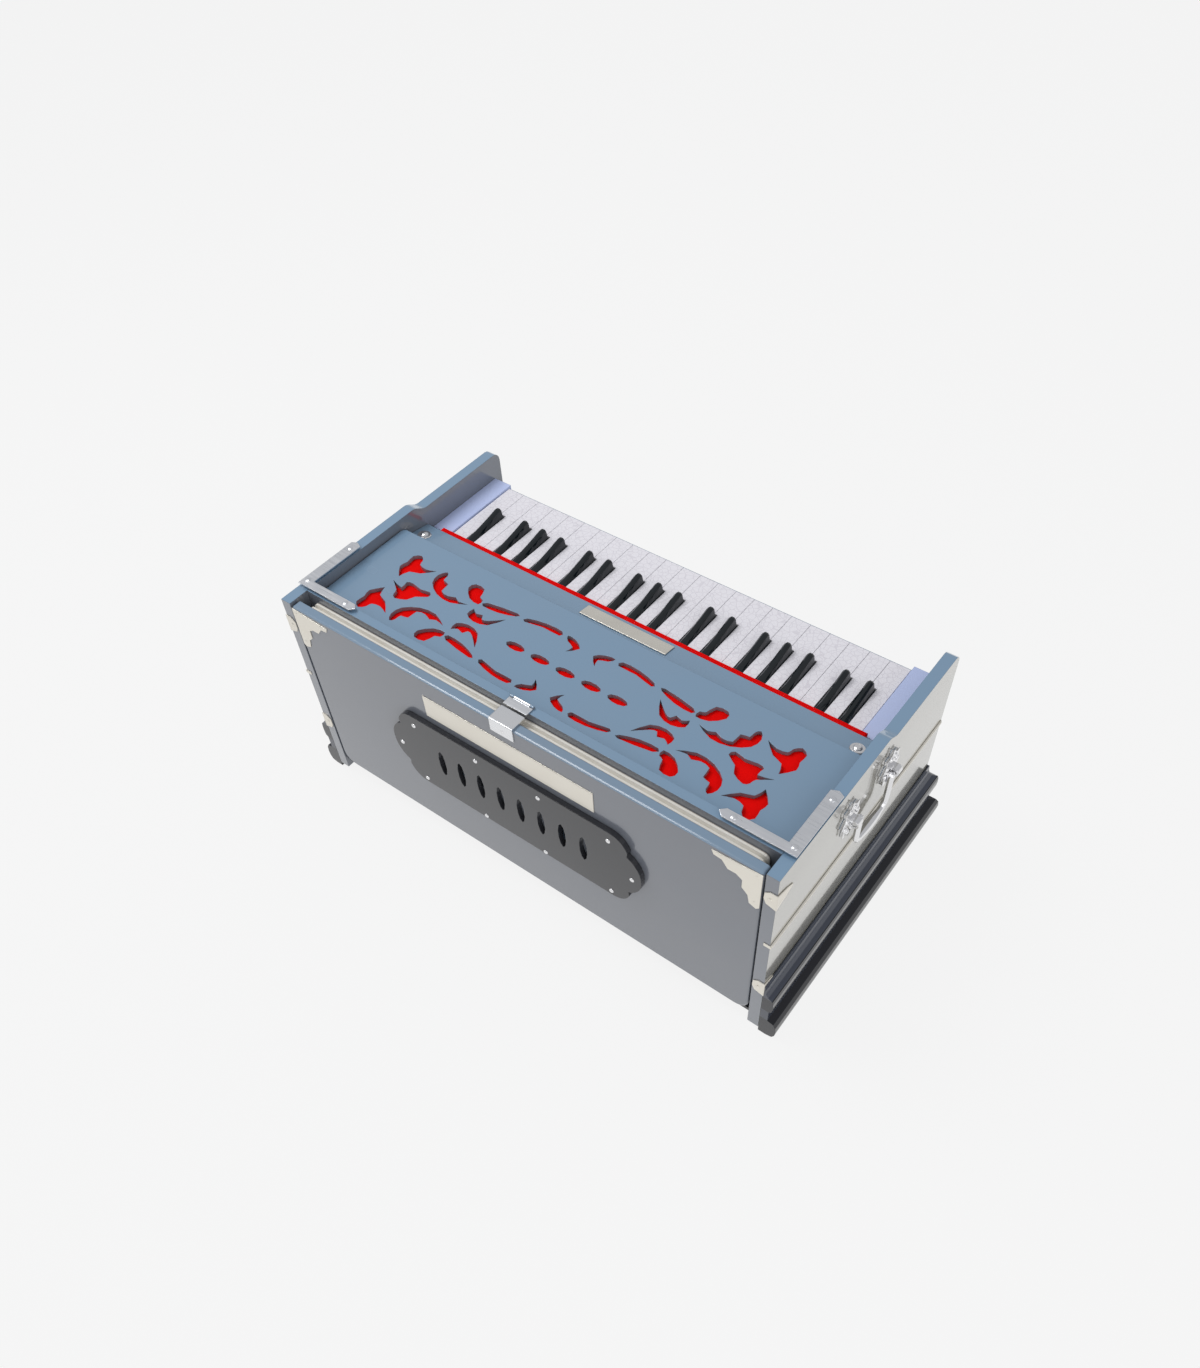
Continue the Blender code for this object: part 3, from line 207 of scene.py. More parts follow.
class Finish:
    """A material with its tree, its shader and the object's own coordinates."""

    def __init__(self, name, roughness, metallic=0.0, coat=0.0, shine=0.5):
        self.material = bpy.data.materials.new(name)
        self.material.use_nodes = True
        self.tree = self.material.node_tree
        self.shader = self.tree.nodes["Principled BSDF"]
        self.shader.inputs["Metallic"].default_value = metallic
        self.shader.inputs["Coat Weight"].default_value = coat
        self.shader.inputs["Coat Roughness"].default_value = COAT_ROUGHNESS
        self.shader.inputs["Specular IOR Level"].default_value = shine
        self.place = self.node("ShaderNodeTexCoord", out="Object")
        self.set("Roughness", roughness)

    def node(self, kind, settings=None, inputs=None, out=0):
        node = self.tree.nodes.new(kind)
        for key, value in (settings or {}).items():
            setattr(node, key, value)
        for key, value in (inputs or {}).items():
            put(self.tree, node.inputs[key], value)
        return Socket(self.tree, node.outputs[out])

    def axis(self, index):
        """The object's x, y or z, in metres."""
        return self.node("ShaderNodeSeparateXYZ", inputs={0: self.place}, out=index)

    def facing(self, index):
        """How far the surface faces along x, y or z, from -1 to 1."""
        normal = self.node("ShaderNodeNewGeometry", out="Normal")
        return self.node("ShaderNodeSeparateXYZ", inputs={0: normal}, out=index)

    def noise(self, scale, detail=3.0, stretch=(1.0, 1.0, 1.0)):
        spot = self.node("ShaderNodeMapping", inputs={"Vector": self.place, "Scale": stretch})
        return self.node("ShaderNodeTexNoise", inputs={"Vector": spot, "Scale": scale, "Detail": detail})

    def mix(self, share, first, second):
        node = self.tree.nodes.new("ShaderNodeMix")
        node.data_type = "RGBA"
        put(self.tree, node.inputs[0], share)
        for slot, colour in ((node.inputs[6], first), (node.inputs[7], second)):
            put(self.tree, slot, colour if isinstance(colour, Socket) else (*colour, 1.0))
        return Socket(self.tree, node.outputs[2])

    def set(self, slot, value):
        put(self.tree, self.shader.inputs[slot], value)

    def bump(self, height, distance, rounding=0.0):
        """A relief in metres; a rounding softens the model's sharp edges where they catch light."""
        inputs = {"Height": height, "Distance": distance, "Strength": 1.0}
        if rounding:
            bevel = self.node("ShaderNodeBevel", {"samples": BEVEL_SAMPLES}, {"Radius": rounding})
            inputs["Normal"] = bevel
        self.set("Normal", self.node("ShaderNodeBump", inputs=inputs))


X_AXIS, Y_AXIS, Z_AXIS = 0, 1, 2
RIPPLE = 0.00003
EDGE_ROUNDING = 0.0010

# %% [markdown]
# The case is sprayed blue-grey lacquer over planed boards: a clear coat over a coat of slightly
# uneven colour, with faint ripples. The tops get a bluer base colour than the upright faces: a painted
# reflection of the sky, on top of what the clear coat itself mirrors.

# %% Case lacquer
TOP_PAINTED_SKY_BLUE = (0.175, 0.285, 0.41)
SIDE_GREY = (0.155, 0.172, 0.205)
CLOUD_GREY = (0.24, 0.27, 0.31)

lacquer = Finish("lacquer", 0.28, coat=0.6)
cloudy = lacquer.noise(9.0)
# Faces that point up get a bluer base colour: painted reflection of the sky.
body_colour_with_painted_sky = lacquer.mix(lacquer.facing(Z_AXIS) > 0.5, SIDE_GREY, TOP_PAINTED_SKY_BLUE)
lacquer.set("Base Color", lacquer.mix(cloudy * 0.22, body_colour_with_painted_sky, CLOUD_GREY))
lacquer.set("Roughness", cloudy * 0.12 + 0.2)
lacquer.bump(lacquer.noise(60.0), RIPPLE, rounding=EDGE_ROUNDING)
print("lacquer nodes", len(lacquer.tree.nodes))

# %% [markdown]
# The outer sides get warm greys in streaks along the wall under their clear coat: a painted reflection
# of a warm room. Their tops get the bluer base colour of the case's tops, a painted reflection of the
# sky. The handles' eyes and leafy plates are one solid with the wall, and stand out from it: all that
# lies past the wall's face is bright metal.

# %% Side walls
OUTER_FACE_X = 0.2824
FITTING_X = 0.2836
REFLECTED_ROOM_DARK = (0.20, 0.19, 0.155)
REFLECTED_ROOM_PALE = (0.36, 0.345, 0.29)
FITTING_METAL = (0.8, 0.8, 0.81)

side_gloss = Finish("side_gloss", 0.22, coat=1.0)
spot_x = side_gloss.axis(X_AXIS)
outer_face = (spot_x * side_gloss.facing(X_AXIS)) > OUTER_FACE_X
# The streaked warm greys on the outer face are a painted reflection of a warm room.
reflection_streaks = side_gloss.noise(4.0, stretch=(1.0, 1.0, 4.0))
painted_room_reflection = side_gloss.mix(reflection_streaks, REFLECTED_ROOM_DARK, REFLECTED_ROOM_PALE)
# Faces that point up get the bluer base colour: painted reflection of the sky.
cheek_colour_with_painted_sky = side_gloss.mix(side_gloss.facing(Z_AXIS) > 0.5, SIDE_GREY, TOP_PAINTED_SKY_BLUE)
wall_colour_with_painted_reflections = side_gloss.mix(outer_face, cheek_colour_with_painted_sky, painted_room_reflection)
fitting = abs(spot_x) > FITTING_X
side_gloss.set("Base Color", side_gloss.mix(fitting, wall_colour_with_painted_reflections, FITTING_METAL))
side_gloss.set("Metallic", fitting)
side_gloss.set("Roughness", 0.2 - fitting * 0.1)
side_gloss.bump(side_gloss.noise(25.0), RIPPLE, rounding=0.0012)
print("side wall nodes", len(side_gloss.tree.nodes))

# %% [markdown]
# The flap is lacquered like the case, a little cloudier. The latch's strap is part of its solid, so the
# same finish turns to bright plate above the flap's top edge and past its outer face.

# %% Pump flap
STRAP_BOTTOM_Z = 0.2534
STRAP_RISE_Y = 0.0003
FLAP_CLOUD = (0.20, 0.205, 0.22)
STRAP_METAL = (0.78, 0.79, 0.81)
REAR_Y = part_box("side_wall_left")[1][1]

flap_paint = Finish("flap_paint", 0.28, coat=0.6)
above_flap = flap_paint.axis(Z_AXIS) > STRAP_BOTTOM_Z
behind_flap = flap_paint.axis(Y_AXIS) > REAR_Y + STRAP_RISE_Y
strap = above_flap + behind_flap
flap_cloud = flap_paint.noise(7.0, stretch=(1.0, 1.0, 2.0))
# Faces that point up get the bluer base colour: painted reflection of the sky.
flap_colour_with_painted_sky = flap_paint.mix(flap_paint.facing(Z_AXIS) > 0.3, SIDE_GREY, TOP_PAINTED_SKY_BLUE)
flap_colour_with_painted_sky = flap_paint.mix(flap_cloud * 0.5, flap_colour_with_painted_sky, FLAP_CLOUD)
flap_paint.set("Base Color", flap_paint.mix(strap, flap_colour_with_painted_sky, STRAP_METAL))
flap_paint.set("Metallic", strap)
flap_paint.set("Roughness", flap_cloud * 0.1 + 0.18)
flap_paint.bump(flap_paint.noise(50.0), RIPPLE, rounding=EDGE_ROUNDING)
print("flap nodes", len(flap_paint.tree.nodes))

# %% [markdown]
# The plinth is a near-black moulding with a blue-grey band in its groove and on its sloping top. On
# the sloping top the blue-grey is a painted reflection of the sky. Both bands lie at fixed heights, so
# two comparisons of the height pick them out.

# %% Plinth
GROOVE_LOW_Z = 0.0285
GROOVE_HIGH_Z = 0.0445
SLOPE_Z = 0.0670
PLINTH_BLACK = (0.006, 0.007, 0.012)
PLINTH_GREY_AND_PAINTED_SKY = (0.05, 0.058, 0.08)

plinth = Finish("plinth", 0.2, coat=0.35, shine=0.25)
height = plinth.axis(Z_AXIS)
in_groove = (height > GROOVE_LOW_Z) * (height < GROOVE_HIGH_Z)
# The band on the sloping top is a painted reflection of the sky; the groove's band is a blue-grey band at a
# fixed height.
groove_band_and_painted_sky = in_groove + (height > SLOPE_Z)
plinth.set("Base Color", plinth.mix(groove_band_and_painted_sky, PLINTH_BLACK, PLINTH_GREY_AND_PAINTED_SKY))
plinth.bump(plinth.noise(50.0), 0.0001, rounding=0.0008)
print("plinth nodes", len(plinth.tree.nodes))

# %% [markdown]
# The white keys are moulded plastic with a fine crackle in the surface. A Voronoi pattern's cell edges
# give the crackle both as a faint darker line and as a shallow cut. The pattern is drawn out along the
# height: a key's top shows its cells, and its front and sides show long upright lines.

# %% White keys
KEY_WHITE = (0.80, 0.785, 0.83)
CRACK_GREY = (0.70, 0.68, 0.73)
CRACK_WIDTH = 0.05

white_key = Finish("white_key", 0.3, coat=0.3)
drawn_out = white_key.node("ShaderNodeMapping", inputs={"Vector": white_key.place, "Scale": (1.0, 1.0, 0.1)})
cells = white_key.node("ShaderNodeTexVoronoi", {"feature": "DISTANCE_TO_EDGE"},
                       {"Vector": drawn_out, "Scale": 170.0})
crack = cells < CRACK_WIDTH
white_key.set("Base Color", white_key.mix(crack, KEY_WHITE, CRACK_GREY))
white_key.set("Roughness", crack * 0.2 + 0.28)
white_key.bump(1 - crack, 0.00002, rounding=0.0006)
print("white key nodes", len(white_key.tree.nodes))

# %% [markdown]
# The black keys are glossy, and the two blocks at the ends are covered with pale lavender laminate.

# %% Black keys and key blocks
KEY_BLACK = (0.003, 0.005, 0.007)
KEY_BLACK_WORN = (0.006, 0.011, 0.014)
LAVENDER = (0.46, 0.55, 0.84)
LAVENDER_PALE = (0.56, 0.63, 0.88)

black_key = Finish("black_key", 0.12, coat=0.3, shine=0.3)
black_key.set("Base Color", black_key.mix(black_key.noise(80.0), KEY_BLACK, KEY_BLACK_WORN))
black_key.bump(black_key.noise(120.0), 0.00005, rounding=0.0009)

laminate = Finish("block_laminate", 0.35, coat=0.2)
laminate.set("Base Color", laminate.mix(laminate.noise(12.0), LAVENDER, LAVENDER_PALE))
laminate.bump(laminate.noise(300.0), RIPPLE, rounding=0.0008)
print("black key nodes", len(black_key.tree.nodes))

# %% [markdown]
# Cloth is matt, so its relief does the work: two crossed waves make the weave, coarser on the cloth
# under the fretwork and finer on the felt. The same waves put painted shade into the weave's hollows as
# a darker red.

# %% Cloth and felt
WEAVE_DEPTH = 0.0003
CLOTH_SHINE = 0.1


def woven(name, colour, hollow_shade, scale):
    cloth = Finish(name, 0.9, shine=CLOTH_SHINE)
    place = {"Vector": cloth.place, "Scale": scale}
    warp = cloth.node("ShaderNodeTexWave", {"bands_direction": "X"}, place)
    weft = cloth.node("ShaderNodeTexWave", {"bands_direction": "Y"}, place)
    weave = warp * weft
    # The weave's hollows get the darker red: painted shade.
    cloth.set("Base Color", cloth.mix(weave, hollow_shade, colour))
    cloth.bump(weave, WEAVE_DEPTH)
    return cloth


red_cloth = woven("red_cloth", (1.0, 0.004, 0.002), (0.86, 0.0, 0.0), 300.0)
red_felt = woven("red_felt", (1.0, 0.003, 0.003), (0.9, 0.0, 0.0), 700.0)
print("cloths", red_cloth.material.name, red_felt.material.name)

# %% [markdown]
# The bellows is cream card, folded like a fan. A remainder of the depth repeats one line of painted
# shade for each fold's crease. Bare pine has a long grain, and the reservoir's leather a fine pebble.

# %% Card, pine and leather
FOLD_PITCH = 0.0042
FOLD_LINE_START = 0.0034
CARD_DARK = (0.74, 0.70, 0.62)
CARD_PALE = (0.88, 0.87, 0.83)
FOLD_SHADE = (0.38, 0.35, 0.31)

card = Finish("bellows_card", 0.65)
# Each fold gets a line of painted shade in its crease.
fold_crease_shade = (card.axis(Y_AXIS) % FOLD_PITCH) > FOLD_LINE_START
pale = card.mix(card.noise(30.0), CARD_DARK, CARD_PALE)
card.set("Base Color", card.mix(fold_crease_shade, pale, FOLD_SHADE))
card.bump(card.noise(220.0), 0.0002)

pine = Finish("pine", 0.6)
grain = pine.noise(14.0, stretch=(0.4, 6.0, 6.0))
pine.set("Base Color", pine.mix(grain, (0.42, 0.27, 0.13), (0.62, 0.44, 0.26)))
pine.bump(grain, 0.0002)

leather = Finish("leather", 0.7)
leather.set("Base Color", leather.mix(leather.noise(40.0), (0.12, 0.06, 0.03), (0.2, 0.11, 0.06)))
leather.bump(leather.noise(260.0), 0.0003)
print("matt finishes", card.material.name, pine.material.name, leather.material.name)

# %% [markdown]
# The plaque is black acrylic with a soft gloss. The metal trim is bright plate: chrome on the handles,
# brushed on the brackets, a warmer silver on the corner plates. One noise changes a plate's colour,
# roughness and relief together, and on the brushed plate it is squeezed along one axis into streaks.

# %% Acrylic and metals
STREAK_ROUGHNESS = 0.15

acrylic = Finish("black_acrylic", 0.2, coat=0.2, shine=0.4)
acrylic.set("Base Color", acrylic.mix(acrylic.noise(6.0), (0.022, 0.023, 0.027), (0.034, 0.035, 0.04)))
acrylic.bump(acrylic.noise(90.0), 0.00004, rounding=0.0008)


def metal(name, first, second, roughness, scale, stretch):
    plate = Finish(name, roughness, metallic=1.0)
    marks = plate.noise(scale, stretch=stretch)
    plate.set("Base Color", plate.mix(marks, first, second))
    plate.set("Roughness", marks * STREAK_ROUGHNESS + roughness)
    plate.bump(marks, RIPPLE, rounding=0.0005)
    return plate


chrome = metal("chrome", (0.72, 0.72, 0.74), (0.86, 0.86, 0.86), 0.08, 30.0, (1.0, 1.0, 1.0))
brushed = metal("brushed", (0.66, 0.68, 0.72), (0.84, 0.85, 0.87), 0.22, 40.0, (1.0, 12.0, 1.0))
warm_plate = metal("warm_plate", (0.74, 0.70, 0.62), (0.86, 0.83, 0.76), 0.32, 25.0, (1.0, 1.0, 1.0))
print("metals", chrome.material.name, brushed.material.name, warm_plate.material.name)

# %% [markdown]
# Each solid names the slot that its finish comes from, so one table dresses them all. Only the side
# walls and the flap have finishes of their own, for the metal that is part of their solids.

# %% Finishes on the solids
FINISH_OF_SLOT = {
    "plinth_lacquer": plinth,
    "blue_grey_lacquer": lacquer,
    "bare_wood": pine,
    "lavender_laminate": laminate,
    "red_cloth": red_cloth,
    "black_acrylic": acrylic,
    "bellows_card": card,
    "brushed_plate": brushed,
    "reservoir_leather": leather,
    "chrome_plate": chrome,
    "white_plastic": white_key,
    "black_plastic": black_key,
}
FINISH_OF_NODE = {
    "side_wall_left": side_gloss,
    "side_wall_right": side_gloss,
    "pump_flap": flap_paint,
}
for subpart in frame["record"]["subparts"]:
    node = nodes[subpart["node"]]
    node.data.materials.clear()
    finish = FINISH_OF_NODE.get(subpart["node"], FINISH_OF_SLOT[subpart["material_slot"]])
    node.data.materials.append(finish.material)
print("finished", len(nodes), "solids")

# %% [markdown]
# Trim plates are thin outlines with thickness. Each starts as one face on a plane of the case, is
# extruded by its thickness, and gets its rim bevelled so that it catches a line of light. Outlines are
# in millimetres; levels, thicknesses and radii are in metres. What comes in pairs is written for the
# treble side and mirrored for the bass side.

# %% Helpers for trim
FRONT_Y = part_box("side_wall_left")[0][1]
MIDDLE_Y = (REAR_Y + FRONT_Y) / 2
WALL_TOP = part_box("rear_board")[1][2]
WALL_X = 0.2832
SEAT_GAP = 0.0001
RIM = 0.0003


def finish_piece(name, bm, finish, body="root"):
    """Turns a bmesh into a finished piece that moves with a body."""
    bmesh.ops.recalc_face_normals(bm, faces=bm.faces)
    mesh = bpy.data.meshes.new(name)
    bm.to_mesh(mesh)
    bm.free()
    mesh.materials.append(finish.material)
    piece = bpy.data.objects.new(name, mesh)
    scene.collection.objects.link(piece)
    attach(piece, body)
    print(name, len(mesh.polygons), "faces")


def plate_on(bm, outline, axis, level, thickness, bevel=RIM):
    """An outline in millimetres on a plane across an axis, raised by a thickness."""
    corners = []
    for u, v in outline:
        place = [u * MM, v * MM]
        place.insert(axis, level)
        corners.append(bm.verts.new(place))
    face = bm.faces.new(corners)
    grown = bmesh.ops.extrude_face_region(bm, geom=[face])["geom"]
    raised = [piece for piece in grown if isinstance(piece, bmesh.types.BMVert)]
    step = Vector()
    step[axis] = thickness
    bmesh.ops.translate(bm, verts=raised, vec=step)
    rim = [edge for edge in bm.edges if edge.verts[0] in raised and edge.verts[1] in raised]
    bmesh.ops.bevel(bm, geom=rim, offset=bevel, segments=1, profile=0.5, affect="EDGES", material=-1)


QUARTER_TURN = math.pi / 2
AXIS_TURN = {
    X_AXIS: Matrix.Rotation(QUARTER_TURN, 4, "Y"),
    Y_AXIS: Matrix.Rotation(QUARTER_TURN, 4, "X"),
    Z_AXIS: Matrix.Identity(4),
}
FLAT_DOME = 0.35
FULL_DOME = 0.5


def dome_screw(bm, place, radius, axis, rise=FLAT_DOME):
    """A low domed head, made by squashing a sphere along an axis. Its lower half is hidden."""
    made = bmesh.ops.create_uvsphere(bm, u_segments=16, v_segments=10, radius=radius)["verts"]
    bmesh.ops.scale(bm, verts=made, vec=(1.0, 1.0, rise))
    bmesh.ops.transform(bm, matrix=Matrix.Translation(place) @ AXIS_TURN[axis], verts=made)


def from_middle(y_mm):
    """A place along the case's depth, in millimetres from the case's middle, in the frame's own y."""
    return MIDDLE_Y / MM + y_mm


def mirrored(side, outline):
    """An outline for the treble side, when side is 1, or its mirror image for the bass side."""
    return [(side * u, v) for u, v in outline]


# %% [markdown]
# A strip of red felt closes the gap between the name rail and the keys, and stops their rattle.

# %% Felt strip
FELT_HALF = 255
FELT_BOTTOM = 0.2205
FELT_HEIGHT = 0.0045
FELT_ROUNDING = 0.0010

bm = bmesh.new()
felt_front = from_middle(-42.0)
felt_back = from_middle(-35.7)
felt = [(-FELT_HALF, felt_front), (FELT_HALF, felt_front), (FELT_HALF, felt_back), (-FELT_HALF, felt_back)]
plate_on(bm, felt, Z_AXIS, FELT_BOTTOM, FELT_HEIGHT, bevel=FELT_ROUNDING)
finish_piece("felt_strip", bm, red_felt)

# %% [markdown]
# The name rail slopes a little towards the keys. Its two washers and its bare plate are made flat and
# then turned by the same slope; a domed screw sits upright on each washer.

# %% Name rail trim
RAIL_SLOPE = Matrix.Rotation(math.atan2(0.005, 0.0305), 4, "X")
WASHER_X = 0.258
WASHER_TOP = 0.2305
WASHER_RADIUS = 0.0075
WASHER_TOP_RADIUS = 0.0068
WASHER_THICKNESS = 0.0010
RAIL_SCREW_LIFT = 0.0006
RAIL_SCREW_RADIUS = 0.0042
RAIL_PLATE = [(-55, -8), (48, -8), (48, 8), (-55, 8)]
RAIL_PLATE_Z = 0.2296
RAIL_PLATE_THICKNESS = 0.0008

bm = bmesh.new()
for side in (-1, 1):
    spot = Vector((side * WASHER_X, from_middle(-16.5) * MM, WASHER_TOP))
    washer = bmesh.ops.create_cone(bm, cap_ends=True, segments=32, radius1=WASHER_RADIUS,
                                   radius2=WASHER_TOP_RADIUS, depth=WASHER_THICKNESS)
    bmesh.ops.transform(bm, matrix=Matrix.Translation(spot) @ RAIL_SLOPE, verts=washer["verts"])
    dome_screw(bm, spot + Vector((0, 0, RAIL_SCREW_LIFT)), RAIL_SCREW_RADIUS, Z_AXIS, rise=FULL_DOME)
finish_piece("rail_washers", bm, chrome)

bm = bmesh.new()
plate_on(bm, RAIL_PLATE, Z_AXIS, 0.0, RAIL_PLATE_THICKNESS)
rail_middle = Matrix.Translation((0, from_middle(-22.0) * MM, RAIL_PLATE_Z))
bmesh.ops.transform(bm, matrix=rail_middle @ RAIL_SLOPE, verts=bm.verts)
finish_piece("rail_plate", bm, warm_plate)

# %% [markdown]
# L-shaped brackets tie the side walls to the rear board. Each lies flat on both top edges, with one
# screw in each leg and one at the corner.

# %% Top brackets
BRACKET_THICKNESS = 0.0012
BRACKET_SCREW_RADIUS = 0.0030
WALL_LEG = from_middle(58)
REAR_LEG = from_middle(122)
REAR_LEG_BACK = from_middle(131.5)
BRACKET = [(283, REAR_LEG_BACK), (283, WALL_LEG), (277, WALL_LEG - 3), (270.5, WALL_LEG), (270.5, REAR_LEG),
           (213, REAR_LEG), (208, REAR_LEG + 4.7), (213, REAR_LEG_BACK)]
BRACKET_SCREWS = [(277, WALL_LEG + 8), (277, REAR_LEG + 2), (222, REAR_LEG + 4.7)]

bm = bmesh.new()
for side in (-1, 1):
    plate_on(bm, mirrored(side, BRACKET), Z_AXIS, WALL_TOP + SEAT_GAP, BRACKET_THICKNESS)
    screw_level = WALL_TOP + SEAT_GAP + BRACKET_THICKNESS
    for u, v in mirrored(side, BRACKET_SCREWS):
        dome_screw(bm, (u * MM, v * MM, screw_level), BRACKET_SCREW_RADIUS, Z_AXIS)
finish_piece("top_brackets", bm, brushed)

# %% [markdown]
# Small clips hold each wall's rear end, one near the top and one near the plinth. A clip is bent round
# the corner, so it is two plates that meet there: one on the wall's end and a pointed one on its side.

# %% End clips
CLIP_HEIGHTS = (70.0, 214.0)
CLIP_THICKNESS = 0.0010
CLIP_SCREW_X = 0.2775
CLIP_SCREW_LIFT = 0.0012
CLIP_SCREW_RISE = 11
CLIP_SCREW_RADIUS = 0.0022
CLIP_END = [(283.6, 0), (283.6, 21), (277, 21), (272, 17), (271.5, 9), (274, 3)]
CLIP_SIDE = [(1, 0), (1, 21), (-14, 16), (-24, 10.5), (-14, 5)]

bm = bmesh.new()
for side in (-1, 1):
    for low in CLIP_HEIGHTS:
        end = [(u, low + v) for u, v in mirrored(side, CLIP_END)]
        plate_on(bm, end, Y_AXIS, REAR_Y + SEAT_GAP, CLIP_THICKNESS)
        screw = (side * CLIP_SCREW_X, REAR_Y + CLIP_SCREW_LIFT, (low + CLIP_SCREW_RISE) * MM)
        dome_screw(bm, screw, CLIP_SCREW_RADIUS, Y_AXIS)
        wrap = [(REAR_Y / MM + u, low + v) for u, v in CLIP_SIDE]
        plate_on(bm, wrap, X_AXIS, side * (WALL_X + SEAT_GAP), side * CLIP_THICKNESS)
finish_piece("end_clips", bm, warm_plate)

# %% [markdown]
# A narrow strip with sloping edges runs along each side wall above its middle, and turns the corner
# with a short tab on the wall's end.

# %% Joint strips
STRIP_LOW = 153.5
STRIP_HIGH = 157.5
STRIP_THICKNESS = 0.0016
STRIP_ROUNDING = 0.0012
TAB_THICKNESS = 0.0008
STRIP_FRONT = FRONT_Y / MM + 1
STRIP_REAR = REAR_Y / MM
STRIP = [(STRIP_FRONT, STRIP_LOW), (STRIP_REAR, STRIP_LOW),
         (STRIP_REAR, STRIP_HIGH), (STRIP_FRONT, STRIP_HIGH)]
TAB = [(284.6, STRIP_LOW), (284.6, STRIP_HIGH), (277, STRIP_HIGH), (277, STRIP_LOW)]

bm = bmesh.new()
for side in (-1, 1):
    plate_on(bm, STRIP, X_AXIS, side * (WALL_X + SEAT_GAP), side * STRIP_THICKNESS, bevel=STRIP_ROUNDING)
    plate_on(bm, mirrored(side, TAB), Y_AXIS, REAR_Y + SEAT_GAP, TAB_THICKNESS)
finish_piece("joint_strips", bm, warm_plate)

# %% [markdown]
# The flap carries scalloped corner plates and a bare name plate. They are pinned on it, so they ride
# with its body and swing out when the flap is pumped.

# %% Plates on the flap
FLAP_PLATE_THICKNESS = 0.0009
PIN_LIFT = 0.0010
PIN_RADIUS = 0.0016
CORNER_PLATE = [(269, 251), (221, 248), (223, 243), (231, 242), (237, 234), (245, 234), (251, 230),
                (251, 220), (257, 214), (259, 204), (266, 201), (269, 204)]
CORNER_PINS = [(230, 246), (264, 246), (264, 209)]
NAME_PLATE = [(-100, 203), (100, 203), (100, 230), (-100, 230)]
NAME_PLATE_RIM = 0.0005

bm = bmesh.new()
for side in (-1, 1):
    plate_on(bm, mirrored(side, CORNER_PLATE), Y_AXIS, REAR_Y + SEAT_GAP, FLAP_PLATE_THICKNESS)
    for u, v in mirrored(side, CORNER_PINS):
        dome_screw(bm, (u * MM, REAR_Y + PIN_LIFT, v * MM), PIN_RADIUS, Y_AXIS)
finish_piece("corner_plates", bm, warm_plate, "pump_flap")

bm = bmesh.new()
plate_on(bm, NAME_PLATE, Y_AXIS, REAR_Y + SEAT_GAP, FLAP_PLATE_THICKNESS, bevel=NAME_PLATE_RIM)
finish_piece("flap_plate", bm, warm_plate, "pump_flap")

# %% [markdown]
# Ten small screws hold the plaque, and one pin holds the latch's strap. They move with the flap too.

# %% Screws on the flap
PLAQUE_SCREWS = [(118, 181), (38, 183), (143, 141), (118, 101), (38, 98)]
PLAQUE_SCREW_RADIUS = 0.0026
STRAP_PIN = (-0.001, REAR_Y + 0.0013, 0.2455)
STRAP_PIN_RADIUS = 0.0018

bm = bmesh.new()
plaque_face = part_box("pump_plaque")[1][1]
for side in (-1, 1):
    for u, v in mirrored(side, PLAQUE_SCREWS):
        dome_screw(bm, (u * MM, plaque_face, v * MM), PLAQUE_SCREW_RADIUS, Y_AXIS, rise=FULL_DOME)
dome_screw(bm, STRAP_PIN, STRAP_PIN_RADIUS, Y_AXIS)
finish_piece("plaque_screws", bm, chrome, "pump_flap")

# %% [markdown]
# The handles' leafy plates are cast with a flower of small domes. A thin plate with a lobed rim and a
# ring of eight domes on each gives them that look. The rim's distance from the middle follows two cosines,
# a strong one for the eight leaves and a weak one for the notches between them.

# %% Rosettes behind the handles
LEAF_POINTS = 48
LEAF_LOBE = 0.11
LEAF_NOTCH = 0.04
LEAF_HALF_WIDTH = 13.5
LEAF_HALF_HEIGHT = 20.5
LEAF_LEVEL = 0.28575
LEAF_THICKNESS = 0.0008
HANDLE_Z = 211
HALF_SPAN = 0.035
DOME_COUNT = 8
DOME_LEVEL = 0.2866
DOME_RADIUS = 0.0028
DOME_RISE = 0.55
DOME_RING_Y = 0.0095
DOME_RING_Z = 0.0145


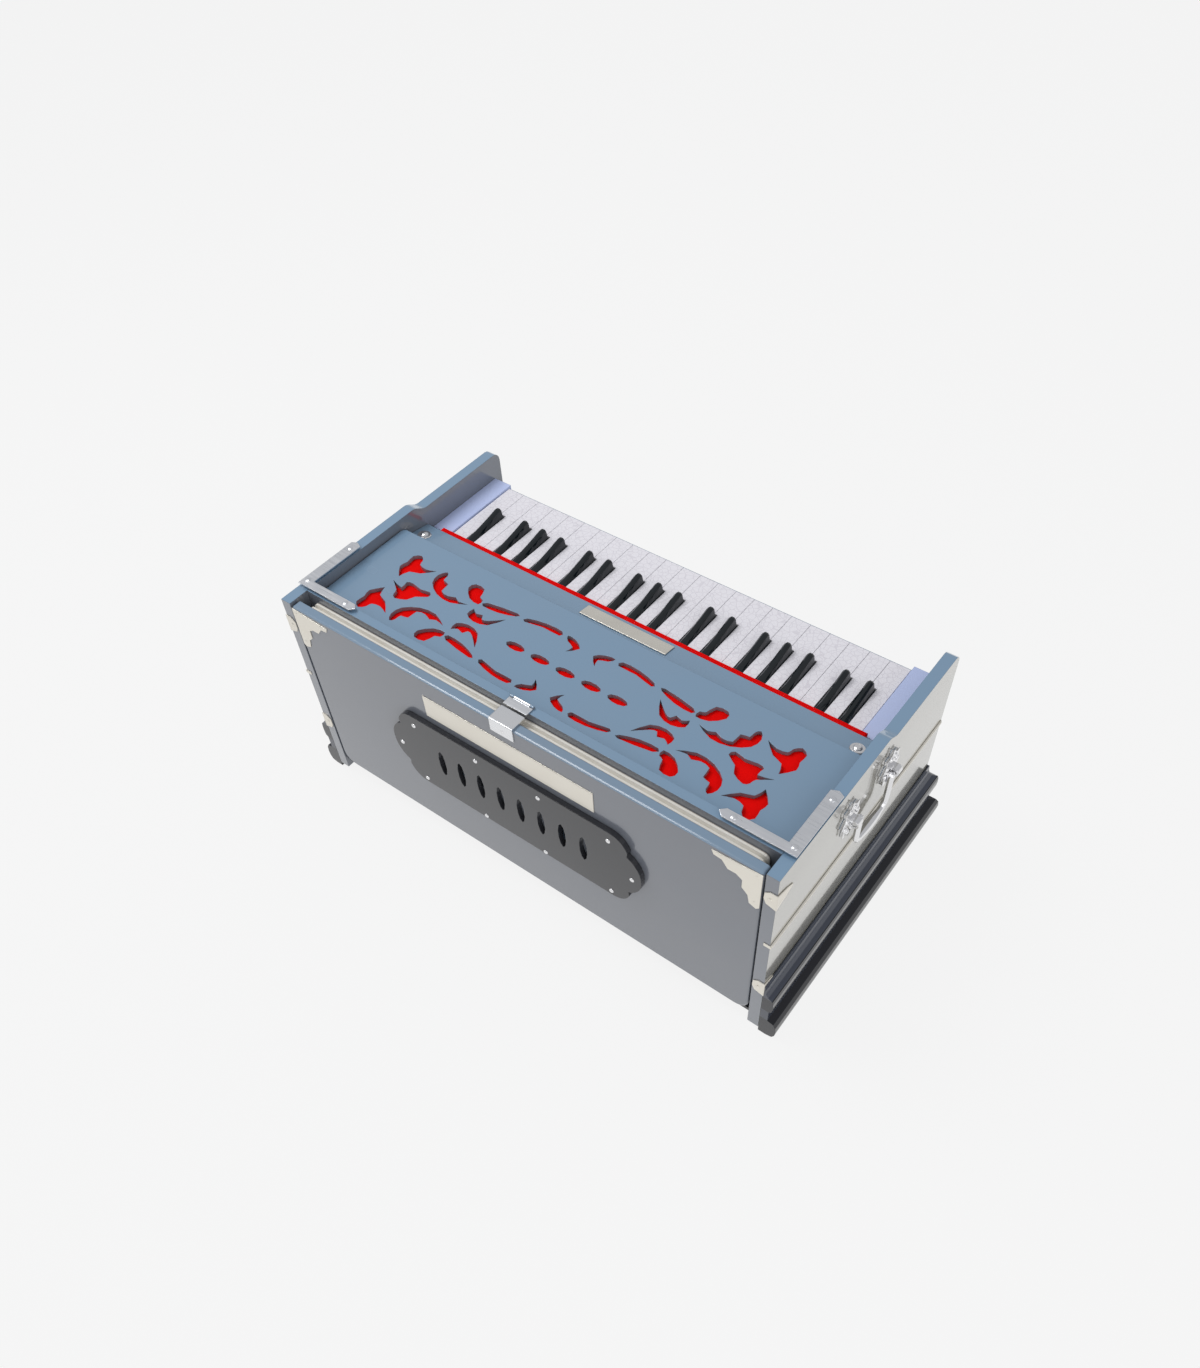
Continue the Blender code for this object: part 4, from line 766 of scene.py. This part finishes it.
def leaf_outline(centre_mm):
    """The lobed rim round a handle's eye, in millimetres."""
    outline = []
    for step in range(LEAF_POINTS):
        turn = 2 * math.pi * step / LEAF_POINTS
        lobe = 1.0 + LEAF_LOBE * math.cos(8 * turn) + LEAF_NOTCH * math.cos(16 * turn)
        y = centre_mm + LEAF_HALF_WIDTH * lobe * math.cos(turn)
        outline.append((y, HANDLE_Z + LEAF_HALF_HEIGHT * lobe * math.sin(turn)))
    return outline


bm = bmesh.new()
handle_y = (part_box("handle_left")[0][1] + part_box("handle_left")[1][1]) / 2
for side in (-1, 1):
    for centre in (handle_y - HALF_SPAN, handle_y + HALF_SPAN):
        plate_on(bm, leaf_outline(centre / MM), X_AXIS, side * LEAF_LEVEL, side * LEAF_THICKNESS)
        for step in range(DOME_COUNT):
            turn = 2 * math.pi * (step + 0.5) / DOME_COUNT
            y = centre + DOME_RING_Y * math.cos(turn)
            z = HANDLE_Z * MM + DOME_RING_Z * math.sin(turn)
            dome_screw(bm, (side * DOME_LEVEL, y, z), DOME_RADIUS, X_AXIS, rise=DOME_RISE)
finish_piece("handle_rosettes", bm, chrome)

# %% [markdown]
# The floor is plain pale paper. To the camera and to mirrors it shows an even near-white with a trace of
# the real shading, which keeps the object's shadow. To the light it is ordinary paper, so it adds no
# more light to the object than paper would.

# %% Floor finish
PAPER = (0.80, 0.80, 0.80, 1.0)
EVEN_SHARE = 0.93

floor_finish = Finish("floor_paper", 0.9)
floor_finish.set("Base Color", PAPER)
floor.data.materials.append(floor_finish.material)
floor_tree = floor_finish.tree
floor_rays = floor_tree.nodes.new("ShaderNodeLightPath")
paper = floor_tree.nodes.new("ShaderNodeEmission")
paper.inputs["Color"].default_value = BACKDROP
blend = floor_tree.nodes.new("ShaderNodeMixShader")
to_camera = Socket(floor_tree, floor_rays.outputs["Is Camera Ray"])
to_mirror = Socket(floor_tree, floor_rays.outputs["Is Glossy Ray"])
put(floor_tree, blend.inputs[0], (to_camera + to_mirror) * EVEN_SHARE)
floor_tree.links.new(floor_finish.shader.outputs[0], blend.inputs[1])
floor_tree.links.new(paper.outputs[0], blend.inputs[2])
floor_tree.links.new(blend.outputs[0], floor_tree.nodes["Material Output"].inputs[0])
print("floor nodes", len(floor_tree.nodes))
